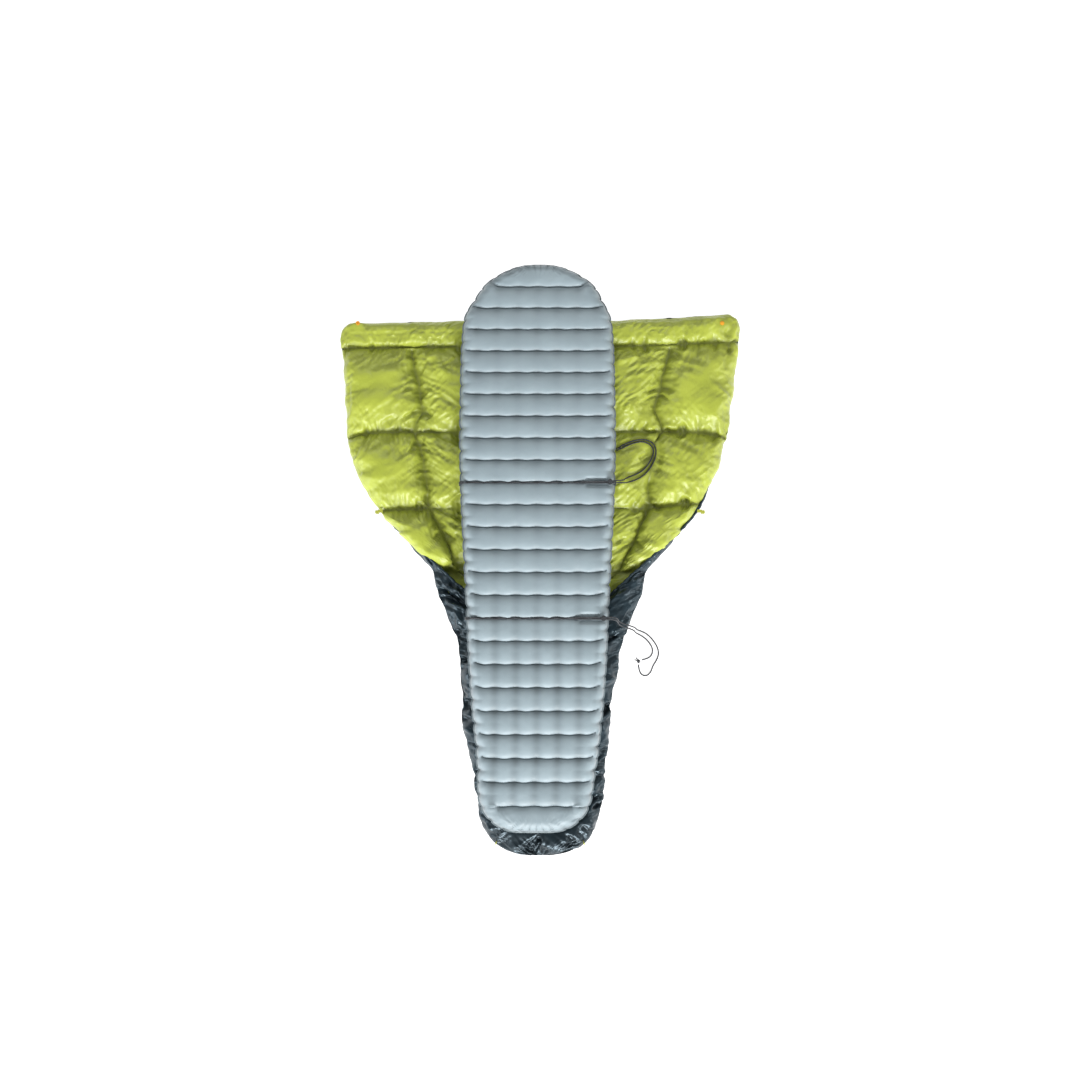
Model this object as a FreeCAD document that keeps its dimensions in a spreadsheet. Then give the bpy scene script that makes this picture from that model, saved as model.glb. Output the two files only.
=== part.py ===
import FreeCAD, Part
import math
import os
import Sketcher

# A camp quilt laid on its face with its open back up, and a sleeping pad strapped with the quilt's
# own elastic cords. X is across the quilt, Y runs from the foot to the head and Z is up. The origin
# is on the ground under the middle of the whole part. All sizes are millimetres.

Vector = FreeCAD.Vector

# Driving sizes: alias, value, what it is.
SIZES = [
    ("skin", 1, "thickness of a nylon skin"),
    ("seam_gap", 1, "half the gap between two down chambers, which their mesh wall stands in"),
    ("mesh_wall", 0.6, "thickness of a mesh baffle wall"),
    ("hinge_x", 390, "fold line between the centre panel and a wing"),
    ("fold_gap", 0.6, "gap between a wing and the fold line"),
    ("centre_loft", 34, "loft of the centre chambers"),
    ("wing_loft", 28, "loft of the wing chambers"),
    ("collar_height", 44, "height of the draught collar"),
    ("collar_top_half", 628, "half width at the top edge of the collar"),
    ("collar_top_y", 796, "top edge of the collar"),
    ("collar_wide_half", 666, "half width at the widest place of the collar"),
    ("collar_wide_y", 740, "widest place of the collar"),
    ("neck_half", 660, "half width at the collar seam"),
    ("neck_y", 705, "collar seam"),
    ("chest_half", 642, "half width at the middle of the upper row"),
    ("chest_y", 545, "middle of the upper row"),
    ("row_a_half", 628, "half width at the first cross seam"),
    ("row_a_y", 405, "first cross seam"),
    ("flank_half", 604, "half width at the middle of the second row"),
    ("flank_y", 305, "middle of the second row"),
    ("curve_half", 568, "half width where the edge turns in"),
    ("curve_y", 226, "where the edge turns in"),
    ("row_b_half", 525, "half width at the second cross seam"),
    ("row_b_y", 150, "second cross seam"),
    ("tip_half", 453, "half width at the upper tips of the footbox back"),
    ("tip_y", 71, "upper tips of the footbox back"),
    ("throat_half", 402, "half width between the tips and the waist"),
    ("throat_y", 4, "between the tips and the waist"),
    ("waist_half", 346, "half width at the top of the footbox"),
    ("waist_y", -60, "top of the footbox"),
    ("hip_half", 313, "half width below the waist"),
    ("hip_y", -171, "below the waist"),
    ("foot_a_half", 273, "half width at the first footbox seam"),
    ("foot_a_y", -270, "first footbox seam"),
    ("calf_half", 250, "half width at the calf"),
    ("calf_y", -371, "calf"),
    ("foot_b_half", 236, "half width at the second footbox seam"),
    ("foot_b_y", -490, "second footbox seam"),
    ("foot_c_half", 206, "half width at the third footbox seam"),
    ("foot_c_y", -705, "third footbox seam"),
    ("toe_half", 190, "half width at the toe"),
    ("toe_y", -951, "closed toe end"),
    ("toe_round", 110, "corner radius of the toe"),
    ("mouth_half", 240, "half width of the footbox mouth beside its seam"),
    ("mouth_y", -123, "place of mouth_half"),
    ("mouth_seam_half", 63, "half width of the mouth at the first footbox seam"),
    ("mouth_end_y", -320, "closed end of the mouth"),
    ("foot_loft", 15, "loft of each footbox layer"),
    ("foot_side", 13, "thickness of the footbox side wall"),
    ("cavity_bottom", 17, "floor of the space for the feet"),
    ("cavity_top", 40, "ceiling of the space for the feet"),
    ("foot_top", 57, "top of the footbox"),
    ("pad_x", -8, "middle line of the pad"),
    ("pad_bottom", 63, "underside of the pad"),
    ("pad_top", 129, "mean top of the pad"),
    ("pad_film", 1, "thickness of the pad's film"),
    ("pad_weld", 5, "width of the welded edge"),
    ("pad_head_y", 951, "head end of the pad"),
    ("pad_head_half", 244, "half width at the head end"),
    ("pad_head_round", 190, "corner radius at the head end"),
    ("pad_chest_half", 254, "greatest half width"),
    ("pad_chest_y", 420, "place of the greatest half width"),
    ("pad_hip_half", 240, "half width at the hip"),
    ("pad_hip_y", 35, "place of the hip"),
    ("pad_knee_half", 210, "half width at the knee"),
    ("pad_knee_y", -470, "place of the knee"),
    ("pad_foot_half", 172, "half width at the foot end"),
    ("pad_foot_y", -875, "foot end of the pad"),
    ("pad_foot_round", 120, "corner radius at the foot end"),
    ("seam_first_y", 864.3, "first cross weld of the pad"),
    ("seam_pitch", 72.06, "distance between two cross welds"),
    ("cord", 4.5, "diameter of the elastic cord"),
    ("cord_apart", 2.4, "half the distance between a strap's two cords"),
    ("band_lift", 2.2, "gap between the pad and the strap's top run"),
    ("lock_radius", 8.5, "radius of a cord lock's body"),
    ("lock_bottom", 129.4, "underside of a cord lock"),
    ("lock_height", 12, "height of a cord lock's body"),
    ("slot_bottom", 130.9, "underside of the slot that the cords run through"),
    ("slot_height", 5.1, "height of that slot"),
    ("slot_width", 9.9, "width of that slot"),
    ("plunger_radius", 5, "radius of the plunger"),
    ("plunger_fit", 0.25, "gap around the plunger"),
    ("plunger_height", 6, "height of the plunger"),
    ("spring_bottom", 137, "foot of the spring, and floor of its well"),
    ("spring_height", 2.4, "height of the spring at rest"),
    ("spring_wall", 1.1, "thickness of the spring"),
    ("upper_strap_y", 216, "place of the upper strap"),
    ("upper_strap_half", 250.5, "half width of the pad under the upper strap"),
    ("lower_strap_y", -217, "place of the lower strap"),
    ("lower_strap_half", 227, "half width of the pad under the lower strap"),
    ("lock_inset", 20, "distance from a cord lock to the pad's edge"),
    ("valve_x", 120, "middle of the valve"),
    ("valve_y", 828, "middle of the valve"),
    ("valve_radius", 24, "radius of the valve's housing"),
    ("valve_bore", 12.4, "radius of the valve's bore"),
    ("valve_depth", 5, "height of the housing below the pad"),
    ("cap_radius", 22, "radius of the valve's cap"),
    ("cap_height", 4, "height of the valve's cap"),
    ("plug_radius", 11.6, "radius of the plug on the cap"),
    ("pin_radius", 1.5, "radius of the valve's hinge pin"),
    ("pin_length", 16, "length of the hinge pin"),
    ("pin_reach", 28, "distance from the valve's middle to its hinge pin"),
]


class Length:
    """A size in millimetres, with the expression that ties it to the sheet."""

    def __init__(self, value, text):
        self.value, self.text = value, text

    def __add__(self, other):
        other = length(other)
        return Length(self.value + other.value, f"({self.text} + {other.text})")

    def __sub__(self, other):
        other = length(other)
        return Length(self.value - other.value, f"({self.text} - {other.text})")

    def __mul__(self, factor):
        return Length(self.value * factor, f"({self.text} * {factor})")

    __radd__ = __add__

    def __rsub__(self, other):
        return length(other) - self

    __rmul__ = __mul__

    def __neg__(self):
        return self * -1


def length(value):
    return value if isinstance(value, Length) else Length(value, f"({value})")


class Sheet:
    """The sizes by name, each as a Length."""


document = FreeCAD.newDocument("camp_quilt")
cells = document.addObject("Spreadsheet::Sheet", "Sizes")
size = Sheet()
for row, (alias, value, note) in enumerate(SIZES, start=1):
    cells.set(f"A{row}", alias)
    cells.set(f"B{row}", str(value))
    cells.set(f"C{row}", note)
    cells.setAlias(f"B{row}", alias)
    setattr(size, alias, Length(value, f"Sizes.{alias}"))
document.recompute()

nodes = {}


def keep(obj, label):
    """Give a finished sub-part its own label, which names its file."""
    obj.Label = label
    nodes[label] = obj
    return obj


def bind(obj, prop, value):
    obj.setExpression(prop, length(value).text)


def place(obj, x=0, y=0, z=0):
    for axis, value in zip("xyz", (x, y, z)):
        bind(obj, f"Placement.Base.{axis}", value)
    return obj


def outline_sketch(body, corners, plane="XY_Plane"):
    """A closed outline with straight sides, each corner tied to the sheet."""
    sketch = body.newObject("Sketcher::SketchObject", "Outline")
    support = [f for f in body.Origin.OriginFeatures if f.Role == plane][0]
    sketch.AttachmentSupport = [(support, "")]
    sketch.MapMode = "FlatFace"
    corners = [(length(a), length(b)) for a, b in corners]
    count = len(corners)
    for n, (a, b) in enumerate(corners):
        c, d = corners[(n + 1) % count]
        sketch.addGeometry(Part.LineSegment(Vector(a.value, b.value, 0), Vector(c.value, d.value, 0)))
    for n in range(count):
        sketch.addConstraint(Sketcher.Constraint("Coincident", n, 2, (n + 1) % count, 1))
    for n, corner in enumerate(corners):
        for kind, place_along in zip(("DistanceX", "DistanceY"), corner):
            index = sketch.addConstraint(Sketcher.Constraint(kind, -1, 1, n, 1, place_along.value))
            sketch.setExpression(f"Constraints[{index}]", place_along.text)
    return sketch


def corner_edges(shape, points):
    """The upright edges of a slab at the given corners."""
    names = []
    for n, edge in enumerate(shape.Edges, start=1):
        ends = [v.Point for v in edge.Vertexes]
        upright = len(ends) == 2 and abs(ends[0].z - ends[1].z) > 0.1
        for x, y in points:
            if upright and all(math.hypot(p.x - x.value, p.y - y.value) < 0.01 for p in ends):
                names.append(f"Edge{n}")
    return names


def slab(name, corners, bottom, height, rounds=()):
    """A flat piece with the given outline; rounds holds corner lists with their radii."""
    body = document.addObject("PartDesign::Body", name)
    pad = body.newObject("PartDesign::Pad", "Thickness")
    pad.Profile = outline_sketch(body, corners)
    bind(pad, "Length", height)
    document.recompute()
    finished = pad
    for points, radius in rounds:
        points = [(length(x), length(y)) for x, y in points]
        fillet = body.newObject("PartDesign::Fillet", "RoundCorners")
        fillet.Base = (finished, corner_edges(finished.Shape, points))
        bind(fillet, "Radius", radius)
        document.recompute()
        finished = fillet
    body.Tip = finished
    return place(body, z=bottom)


def box(name, x, y, z, wide, long, high):
    piece = document.addObject("Part::Box", name)
    for prop, value in zip(("Length", "Width", "Height"), (wide, long, high)):
        bind(piece, prop, value)
    return place(piece, x, y, z)


def cylinder(name, radius, height, x, y, z):
    piece = document.addObject("Part::Cylinder", name)
    bind(piece, "Radius", radius)
    bind(piece, "Height", height)
    return place(piece, x, y, z)


def cut(name, base, tool):
    result = document.addObject("Part::Cut", name)
    result.Base, result.Tool = base, tool
    return result


def fuse(name, *pieces):
    result = document.addObject("Part::MultiFuse", name)
    result.Shapes = list(pieces)
    return result


def group(name, *pieces):
    result = document.addObject("Part::Compound", name)
    result.Links = list(pieces)
    return result


# ---------------------------------------------------------------- the quilt's outline

def station(name, inset=0):
    """Half width and place of a named point on the quilt's edge."""
    return getattr(size, f"{name}_half") - inset, getattr(size, f"{name}_y")


def mirrored(right_side):
    """A whole outline from its right side, listed from head to foot."""
    return right_side + [(-x, y) for x, y in reversed(right_side)]


def between(upper, lower, middle, inset):
    """The part of a mirrored outline between two cross seams."""
    top = [(station(upper, inset)[0], station(upper)[1] - size.seam_gap)]
    low = [(station(lower, inset)[0], station(lower)[1] + size.seam_gap)]
    return mirrored(top + [station(name, inset) for name in middle] + low)


def foot_outline(inset, start=()):
    """The footbox's outline, from given upper points to its round toe."""
    toe = (size.toe_half - inset, size.toe_y + inset)
    side = [station(name, inset) for name in ("hip", "foot_a", "calf", "foot_b", "foot_c")]
    return mirrored(list(start) + side + [toe]), [([toe, (-toe[0], toe[1])], size.toe_round - inset)]


def waist_line(inset, below=0):
    return [(size.waist_half - inset, size.waist_y - below)]


def back_start(inset):
    """The right side of the footbox back above its hip, with the mouth's edge."""
    tip = (size.tip_half - inset, size.tip_y - size.seam_gap - inset)
    return [(0, size.mouth_end_y - inset), (size.mouth_half, size.mouth_y - inset), tip,
            station("throat", inset), station("waist", inset)]


def back_slab(name, inset, bottom, height):
    """A whole layer of the footbox back, notched by the mouth."""
    right = back_start(inset)
    outline, rounds = foot_outline(inset, right)
    return slab(name, outline[:-1], bottom, height, rounds)


# ---------------------------------------------------------------- centre panel

def centre_panel():
    top_z = size.skin + size.centre_loft
    tip = (size.tip_half, size.tip_y - size.seam_gap)
    fold = (size.hinge_x, size.tip_y - size.seam_gap)
    head = (size.hinge_x, size.collar_top_y)
    corners = mirrored([head, fold, tip, station("throat"), station("waist")])
    keep(slab("CentreShell", corners, 0, size.skin), "centre_shell")
    corners = mirrored([(size.hinge_x, size.neck_y - size.seam_gap), fold, tip,
                        station("throat"), station("waist")])
    keep(slab("CentreLiner", corners, top_z, size.skin), "centre_liner")

    inside = size.hinge_x - size.seam_gap
    rows = [("upper", size.neck_y, size.row_a_y), ("middle", size.row_a_y, size.row_b_y)]
    for name, upper, lower in rows:
        row = box(f"Centre{name.title()}Row", -inside, lower + size.seam_gap, size.skin,
                  inside * 2, upper - lower - size.seam_gap * 2, size.centre_loft)
        keep(row, f"centre_{name}_down")
    low = mirrored([(inside, size.row_b_y - size.seam_gap), (inside, size.tip_y - size.seam_gap * 2),
                    (size.tip_half - size.seam_gap * 3, size.tip_y - size.seam_gap * 2),
                    station("throat", size.seam_gap), (size.waist_half - size.seam_gap,
                                                       size.waist_y + size.seam_gap)])
    keep(slab("CentreLowerRow", low, size.skin, size.centre_loft), "centre_lower_down")

    walls = [box(f"CentreWall{n}", -inside, y - size.mesh_wall * 0.5, size.skin,
                 inside * 2, size.mesh_wall, size.centre_loft)
             for n, y in enumerate((size.row_a_y, size.row_b_y))]
    waist = size.waist_half - size.seam_gap
    walls.append(box("CentreWaistWall", -waist, size.waist_y, size.skin,
                     waist * 2, size.mesh_wall, size.centre_loft))
    keep(group("CentreWalls", *walls), "centre_baffle_meshes")


def collar(name, corners, inner, label):
    """A draught collar: an upturned nylon tray on the shell, filled with down."""
    tray = slab(f"{name}Outer", corners, size.skin, size.collar_height - size.skin)
    room = slab(f"{name}Room", inner, size.skin, size.collar_height - size.skin * 2)
    keep(cut(f"{name}Casing", tray, room), f"{label}collar_casing")
    return slab(f"{name}Down", inner, size.skin, size.collar_height - size.skin * 2)


def centre_collar():
    side = size.hinge_x
    low, high = size.neck_y + size.seam_gap, size.collar_top_y
    wall = size.skin
    outer = mirrored([(side, high), (side, low)])
    inner = mirrored([(side - wall, high - wall), (side - wall, low + wall)])
    down = collar("CentreCollar", outer, inner, "centre_")
    tape_z = size.collar_height * 0.5
    room = box("ElasticRoom", -(side - wall), low + wall, tape_z, (side - wall) * 2, 1.4, 12)
    keep(cut("CentreCollarFill", down, room), "centre_collar_down")
    tape = box("Elastic", -(side - wall), low + wall, tape_z + 0.2, (side - wall) * 2, 1, 11.6)
    keep(tape, "collar_elastic_tape")


# ---------------------------------------------------------------- wings

def wing_outline(side, names, inset, top, low):
    """One wing's outline between two heights, from the fold line out to the edge."""
    fold = size.hinge_x + size.fold_gap + inset * 0.5
    edge = [(station(name, inset)[0] * side, station(name)[1]) for name in names]
    top_half, top_y = top
    low_half, low_y = low
    return [(fold * side, low_y), (fold * side, top_y), ((top_half - inset) * side, top_y)] + edge + [
        ((low_half - inset) * side, low_y)]


def wing(side, word):
    gap = size.seam_gap
    neck = (size.neck_half, size.neck_y - gap)
    tip = (size.tip_half, size.tip_y + gap)
    edge = ["chest", "row_a", "flank", "curve", "row_b"]
    fold = size.hinge_x + size.fold_gap
    title = word.title()

    shell = wing_outline(side, ["collar_wide", "neck"] + edge, 0,
                         (size.collar_top_half, size.collar_top_y), tip)
    keep(slab(f"{title}Shell", shell, 0, size.skin), f"{word}_wing_shell")
    rim = slab(f"{title}LinerRim", wing_outline(side, edge, 0, neck, tip),
               size.skin, size.wing_loft + size.skin)
    room = slab(f"{title}LinerRoom", wing_outline(side, edge, size.skin, neck, (tip[0] - 1, tip[1])),
                size.skin, size.wing_loft)
    open_side = box(f"{title}LinerFold", fold * side - 2, tip[1] + 2, size.skin, 4,
                    neck[1] - tip[1] - 4, size.wing_loft)
    keep(cut(f"{title}Liner", rim, fuse(f"{title}LinerHollow", room, open_side)),
         f"{word}_wing_liner")

    rows = [("upper", ["chest"], neck, (size.row_a_half, size.row_a_y + gap)),
            ("middle", ["flank", "curve"], (size.row_a_half, size.row_a_y - gap),
             (size.row_b_half, size.row_b_y + gap)),
            ("lower", [], (size.row_b_half - 1, size.row_b_y - gap), (size.tip_half, tip[1] + gap))]
    for name, middle, top, low in rows:
        row = slab(f"{title}{name.title()}Row", wing_outline(side, middle, size.skin * 3, top, low),
                   size.skin, size.wing_loft)
        keep(row, f"{word}_wing_{name}_down")

    walls = []
    for name, half, y in (("A", size.row_a_half, size.row_a_y), ("B", size.row_b_half, size.row_b_y)):
        wide = half - size.skin * 3 - fold
        start = fold + gap if side > 0 else -(half - size.skin * 3) + gap
        walls.append(box(f"{title}Wall{name}", start, y - size.mesh_wall * 0.5, size.skin,
                         wide - gap * 2, size.mesh_wall, size.wing_loft))
    keep(group(f"{title}Walls", *walls), f"{word}_wing_baffle_meshes")

    def collar_outline(inset):
        low = size.neck_y + gap + inset
        return [((fold + inset) * side, low), ((fold + inset) * side, size.collar_top_y - inset),
                ((size.collar_top_half - inset) * side, size.collar_top_y - inset),
                ((size.collar_wide_half - inset) * side, size.collar_wide_y),
                ((size.neck_half - inset) * side, low)]

    down = collar(f"{title}Collar", collar_outline(0), collar_outline(size.skin), f"{word}_wing_")
    keep(down, f"{word}_wing_collar_down")


def wing_trim(side, word):
    """The webbing loop at the wing's edge, and the snap at the end of its collar."""
    y = size.row_b_y - 16
    reach = (size.row_b_half + 3) * side
    outer = box(f"{word.title()}LoopOuter", reach - (0 if side > 0 else 12), y, size.skin + 2, 12, 10, 14)
    inner = box(f"{word.title()}LoopHole", reach + (0 if side > 0 else -10.5), y - 1,
                size.skin + 3.5, 10.5, 12, 11)
    strap = cut(f"{word.title()}Loop", outer, inner)
    tab_start = (size.row_b_half - 12) * side if side > 0 else -(size.row_b_half + 3)
    tab = box(f"{word.title()}LoopTab", tab_start, y, size.skin + size.wing_loft + size.skin, 15, 10, 1.5)
    rise = box(f"{word.title()}LoopRise", reach - (1.5 if side > 0 else 0), y, size.skin + 14, 1.5, 10,
               size.wing_loft - 10.5)
    keep(fuse(f"{word.title()}LoopWhole", strap, rise, tab), f"{word}_wing_strap_loop")

    x = (size.collar_top_half - 22) * side
    y = size.collar_top_y - 26
    base = cylinder(f"{word.title()}SnapFlange", 7, 1.2, x, y, size.collar_height)
    if side > 0:
        stud = cylinder("RightSnapStud", 3, 3.2, x, y, size.collar_height + 1)
        keep(fuse("RightSnap", base, stud), "right_collar_snap_stud")
    else:
        cup = cylinder("LeftSnapCup", 5.4, 2.6, x, y, size.collar_height + 1)
        well = cylinder("LeftSnapWell", 3.2, 3, x, y, size.collar_height + 1.2)
        keep(cut("LeftSnap", fuse("LeftSnapBlank", base, cup), well), "left_collar_snap_socket")


# ---------------------------------------------------------------- footbox

def footbox():
    skin, side = size.skin, size.foot_side
    below = size.seam_gap
    outline, rounds = foot_outline(0, waist_line(0, below))
    keep(slab("FootFrontShell", outline, 0, skin, rounds), "footbox_front_shell")

    seams = ["foot_a", "foot_b", "foot_c"]
    fill = skin * 2
    toe = (size.toe_half - fill, size.toe_y + fill)
    toe_rounds = [([toe, (-toe[0], toe[1])], size.toe_round - fill)]

    def rows(name, bottom, loft, notch):
        top = [(size.waist_half - fill, size.waist_y - below * 2)]
        first = mirrored(top + [station("hip", fill), (station("foot_a", fill)[0],
                                                       size.foot_a_y + size.seam_gap)])
        second = between("foot_a", "foot_b", ["calf"], fill)
        if notch:
            at_seam = size.mouth_seam_half
            right = [(at_seam, size.foot_a_y + size.seam_gap)] + back_start(fill)[1:] + [
                station("hip", fill), (station("foot_a", fill)[0], size.foot_a_y + size.seam_gap)]
            pieces = [slab(f"{name}RowRight", right, bottom, loft),
                      slab(f"{name}RowLeft", [(-x, y) for x, y in right], bottom, loft)]
            low = size.foot_a_y - size.seam_gap
            second = [(0, size.mouth_end_y - fill), (at_seam, low)] + second[:-1] + [
                second[-1], (-at_seam, low)]
        else:
            pieces = [slab(f"{name}Row1", first, bottom, loft)]
        pieces.append(slab(f"{name}Row2", second, bottom, loft))
        pieces.append(slab(f"{name}Row3", between("foot_b", "foot_c", [], fill), bottom, loft))
        last = mirrored([(station("foot_c", fill)[0], size.foot_c_y - size.seam_gap), toe])
        pieces.append(slab(f"{name}Row4", last, bottom, loft, toe_rounds))
        return group(name, *pieces)

    def walls(name, bottom, loft, start):
        pieces = []
        for seam in seams[start:]:
            half, y = station(seam, fill)
            pieces.append(box(f"{name}{seam}", -half, y - size.mesh_wall * 0.5, bottom,
                              half * 2, size.mesh_wall, loft))
        return pieces

    keep(rows("FrontFill", skin, size.foot_loft, False), "footbox_front_down")
    back_z = size.cavity_top + skin
    keep(rows("BackFill", back_z, size.foot_loft, True), "footbox_back_down")
    meshes = walls("FrontMesh", skin, size.foot_loft, 0) + walls("BackMesh", back_z, size.foot_loft, 1)
    for turn in (1, -1):
        near, far = size.mouth_seam_half + 1, size.foot_a_half - fill
        meshes.append(box(f"BackMeshA{turn}", near if turn > 0 else -far,
                          size.foot_a_y - size.mesh_wall * 0.5, back_z, far - near, size.mesh_wall,
                          size.foot_loft))
    keep(group("FootMeshes", *meshes), "footbox_baffle_meshes")

    def ring(name, outer, inner, bottom, height):
        """A wall that follows the footbox's sides and toe, and is open at the mouth."""
        shape, shape_rounds = foot_outline(outer, waist_line(outer, below))
        body = slab(f"{name}Body", shape, bottom, height, shape_rounds)
        open_end = (size.waist_half - inner, size.waist_y + 20)
        shape, shape_rounds = foot_outline(inner, [open_end] + waist_line(inner, below))
        room = slab(f"{name}Room", shape, bottom - 1, height + 2, shape_rounds)
        return cut(name, body, room)

    keep(ring("SideFill", skin, side, size.skin + size.foot_loft, back_z - skin - size.foot_loft),
         "footbox_side_down")
    floor_outline, floor_rounds = foot_outline(side, waist_line(side, below))
    floor = slab("LinerFloor", floor_outline, size.cavity_bottom - skin, skin, floor_rounds)
    wall = ring("LinerWall", side, side + skin, size.cavity_bottom - skin,
                back_z - size.cavity_bottom + skin)
    roof_outline, roof_rounds = foot_outline(side, [(0, size.mouth_end_y - skin),
                                                    (size.mouth_half, size.mouth_y - skin),
                                                    (size.waist_half - side, size.waist_y - below)])
    roof = slab("LinerRoof", roof_outline[:-1], size.cavity_top, skin, roof_rounds)
    keep(fuse("FootLiner", floor, wall, roof), "footbox_liner")

    top = back_slab("BackShellTop", 0, size.foot_top - skin, skin)
    skirt = ring("BackShellSkirt", 0, skin, skin, size.foot_top - skin)
    keep(fuse("BackShell", top, skirt), "footbox_back_shell")

    loops = []
    for turn in (1, -1):
        x = 140 * turn
        blank = box(f"ToeLoop{turn}", x - 6, size.toe_y + 8, size.foot_top, 12, 34, 4)
        hole = box(f"ToeLoopHole{turn}", x - 7, size.toe_y + 10, size.foot_top + 1, 14, 30, 2)
        loops.append(cut(f"ToeHangLoop{turn}", blank, hole))
    keep(group("ToeLoops", *loops), "toe_hang_loops")


# ---------------------------------------------------------------- sleeping pad

def pad_outline(inset):
    x = size.pad_x
    head = (size.pad_head_half - inset, size.pad_head_y - inset)
    foot = (size.pad_foot_half - inset, size.pad_foot_y + inset)
    right = [head, station("pad_chest", inset), station("pad_hip", inset), station("pad_knee", inset), foot]
    corners = [(a + x, b) for a, b in mirrored(right)]
    rounds = [([(x + head[0], head[1]), (x - head[0], head[1])], size.pad_head_round - inset),
              ([(x + foot[0], foot[1]), (x - foot[0], foot[1])], size.pad_foot_round - inset)]
    return corners, rounds


def pad_slab(name, inset, bottom, height):
    corners, rounds = pad_outline(inset)
    return slab(name, corners, bottom, height, rounds)


def pad_half_width(y):
    """Half width of the welded tubes at a height along the pad, straight between its stations."""
    known = [(size.pad_head_y.value, size.pad_head_half.value)]
    known += [(station(name)[1].value, station(name)[0].value)
              for name in ("pad_chest", "pad_hip", "pad_knee", "pad_foot")]
    for (y1, half1), (y2, half2) in zip(known, known[1:]):
        if y2 <= y <= y1:
            half = half1 + (half2 - half1) * (y - y1) / (y2 - y1)
            break
    for end, radius, sign in ((known[0], size.pad_head_round.value, 1),
                              (known[-1], size.pad_foot_round.value, -1)):
        past = sign * (y - end[0]) + radius
        if past > 0:
            half = min(half, end[1] - radius + math.sqrt(radius ** 2 - past ** 2))
    return half


def sleeping_pad():
    film, weld = size.pad_film, size.pad_weld
    middle = (size.pad_bottom + size.pad_top) * 0.5
    depth = middle - size.pad_bottom
    face = pad_slab("FaceBlank", weld, middle, depth)
    room = pad_slab("FaceRoom", weld + film, middle - 1, depth - film + 1)
    keep(cut("FaceFilm", face, room), "pad_face_film")
    base = pad_slab("BaseBlank", weld, size.pad_bottom, depth)
    room = pad_slab("BaseRoom", weld + film, size.pad_bottom + film, depth)
    mouth = cylinder("BaseValveHole", size.valve_bore + 3, 20, size.valve_x, size.valve_y,
                     size.pad_bottom - 5)
    keep(cut("BaseFilm", base, fuse("BaseHollow", room, mouth)), "pad_base_film")
    outer = pad_slab("WeldOuter", 0, middle - film, film * 2)
    inner = pad_slab("WeldInner", weld, middle - 5, 10)
    keep(cut("Weld", outer, inner), "pad_edge_weld")

    webs = []
    for n in range(24):
        y = size.seam_first_y - size.seam_pitch * n
        half = round(pad_half_width(y.value) - 12, 1)
        webs.append(box(f"Web{n}", size.pad_x - half, y - size.mesh_wall * 0.5, size.pad_bottom + film,
                        2 * half, size.mesh_wall, size.pad_top - size.pad_bottom - film * 2))
    keep(group("Webs", *webs), "pad_baffle_webs")


def valve():
    """A flat valve under the head end, whose cap swings down about a pin."""
    x, y = size.valve_x, size.valve_y
    low = size.pad_bottom - size.valve_depth
    ring = cylinder("ValveRing", size.valve_radius, size.valve_depth, x, y, low)
    neck = cylinder("ValveNeck", size.valve_bore + 2.6, 6, x, y, size.pad_bottom)
    bore = cylinder("ValveBore", size.valve_bore, 30, x, y, low - 5)
    pin_y = y + size.pin_reach
    pin_z = low - size.cap_height * 0.5 - 0.4
    half_pin = size.pin_length * 0.5
    lugs = []
    for turn in (1, -1):
        start = x + 5.4 if turn > 0 else x - half_pin
        lug = box(f"ValveLug{turn}", start, pin_y - 8, pin_z - 3, half_pin - 5.4, 11, 8.3)
        lugs.append(lug)
    blank = fuse("ValveBlank", ring, neck, *lugs)
    drill = cylinder("ValvePinHole", size.pin_radius, size.pin_length + 4, x - half_pin - 2, pin_y, pin_z)
    drill.Placement.Rotation = FreeCAD.Rotation(Vector(0, 1, 0), 90)
    sweep = cylinder("ValveCapRoom", size.cap_radius + 1, 20, x, y, low - 20)
    body = cut("ValveHousingDrilled", blank, drill)
    keep(cut("ValveHousing", body, fuse("ValveHollow", bore, sweep)), "valve_housing")

    flap = cylinder("CapDisc", size.cap_radius, size.cap_height, x, y, low - size.cap_height - 0.4)
    plug = cylinder("CapPlug", size.plug_radius, 2.4, x, y, low - 0.5)
    arm = box("CapArm", x - 5, y + size.cap_radius - 6, pin_z - 2, 10, size.pin_reach - size.cap_radius + 6,
              4)
    knuckle = cylinder("CapKnuckle", 3, 10, x - 5, pin_y, pin_z)
    knuckle.Placement.Rotation = FreeCAD.Rotation(Vector(0, 1, 0), 90)
    eye = cylinder("CapEye", size.pin_radius + 0.2, 14, x - 7, pin_y, pin_z)
    eye.Placement.Rotation = FreeCAD.Rotation(Vector(0, 1, 0), 90)
    keep(cut("Cap", fuse("CapBlank", flap, plug, arm, knuckle), eye), "valve_cap")

    pin = cylinder("Pin", size.pin_radius, size.pin_length, x - half_pin, pin_y, pin_z)
    pin.Placement.Rotation = FreeCAD.Rotation(Vector(0, 1, 0), 90)
    keep(pin, "valve_hinge_pin")

    disc = cylinder("Membrane", size.valve_bore + 2.6, 0.6, x, y, size.pad_bottom + 6)
    keep(disc, "valve_membrane")


# ---------------------------------------------------------------- straps

def strap_band(word, y, half):
    """Two elastic cords side by side, round the pad."""
    cord = size.cord
    inner_half = half + 0.6
    inner_low, inner_high = size.pad_bottom - 0.3, size.pad_top + size.band_lift
    rings = []
    for turn in (1, -1):
        start = y + size.cord_apart * turn - cord * 0.5
        outer = box(f"{word}Band{turn}Outer", size.pad_x - inner_half - cord, start, inner_low - cord,
                    (inner_half + cord) * 2, cord, inner_high - inner_low + cord * 2)
        hole = box(f"{word}Band{turn}Hole", size.pad_x - inner_half, start - 1, inner_low,
                   inner_half * 2, cord + 2, inner_high - inner_low)
        rings.append(cut(f"{word}Band{turn}", outer, hole))
    keep(group(f"{word}Band", *rings), f"{word.lower()}_strap_band")


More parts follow.
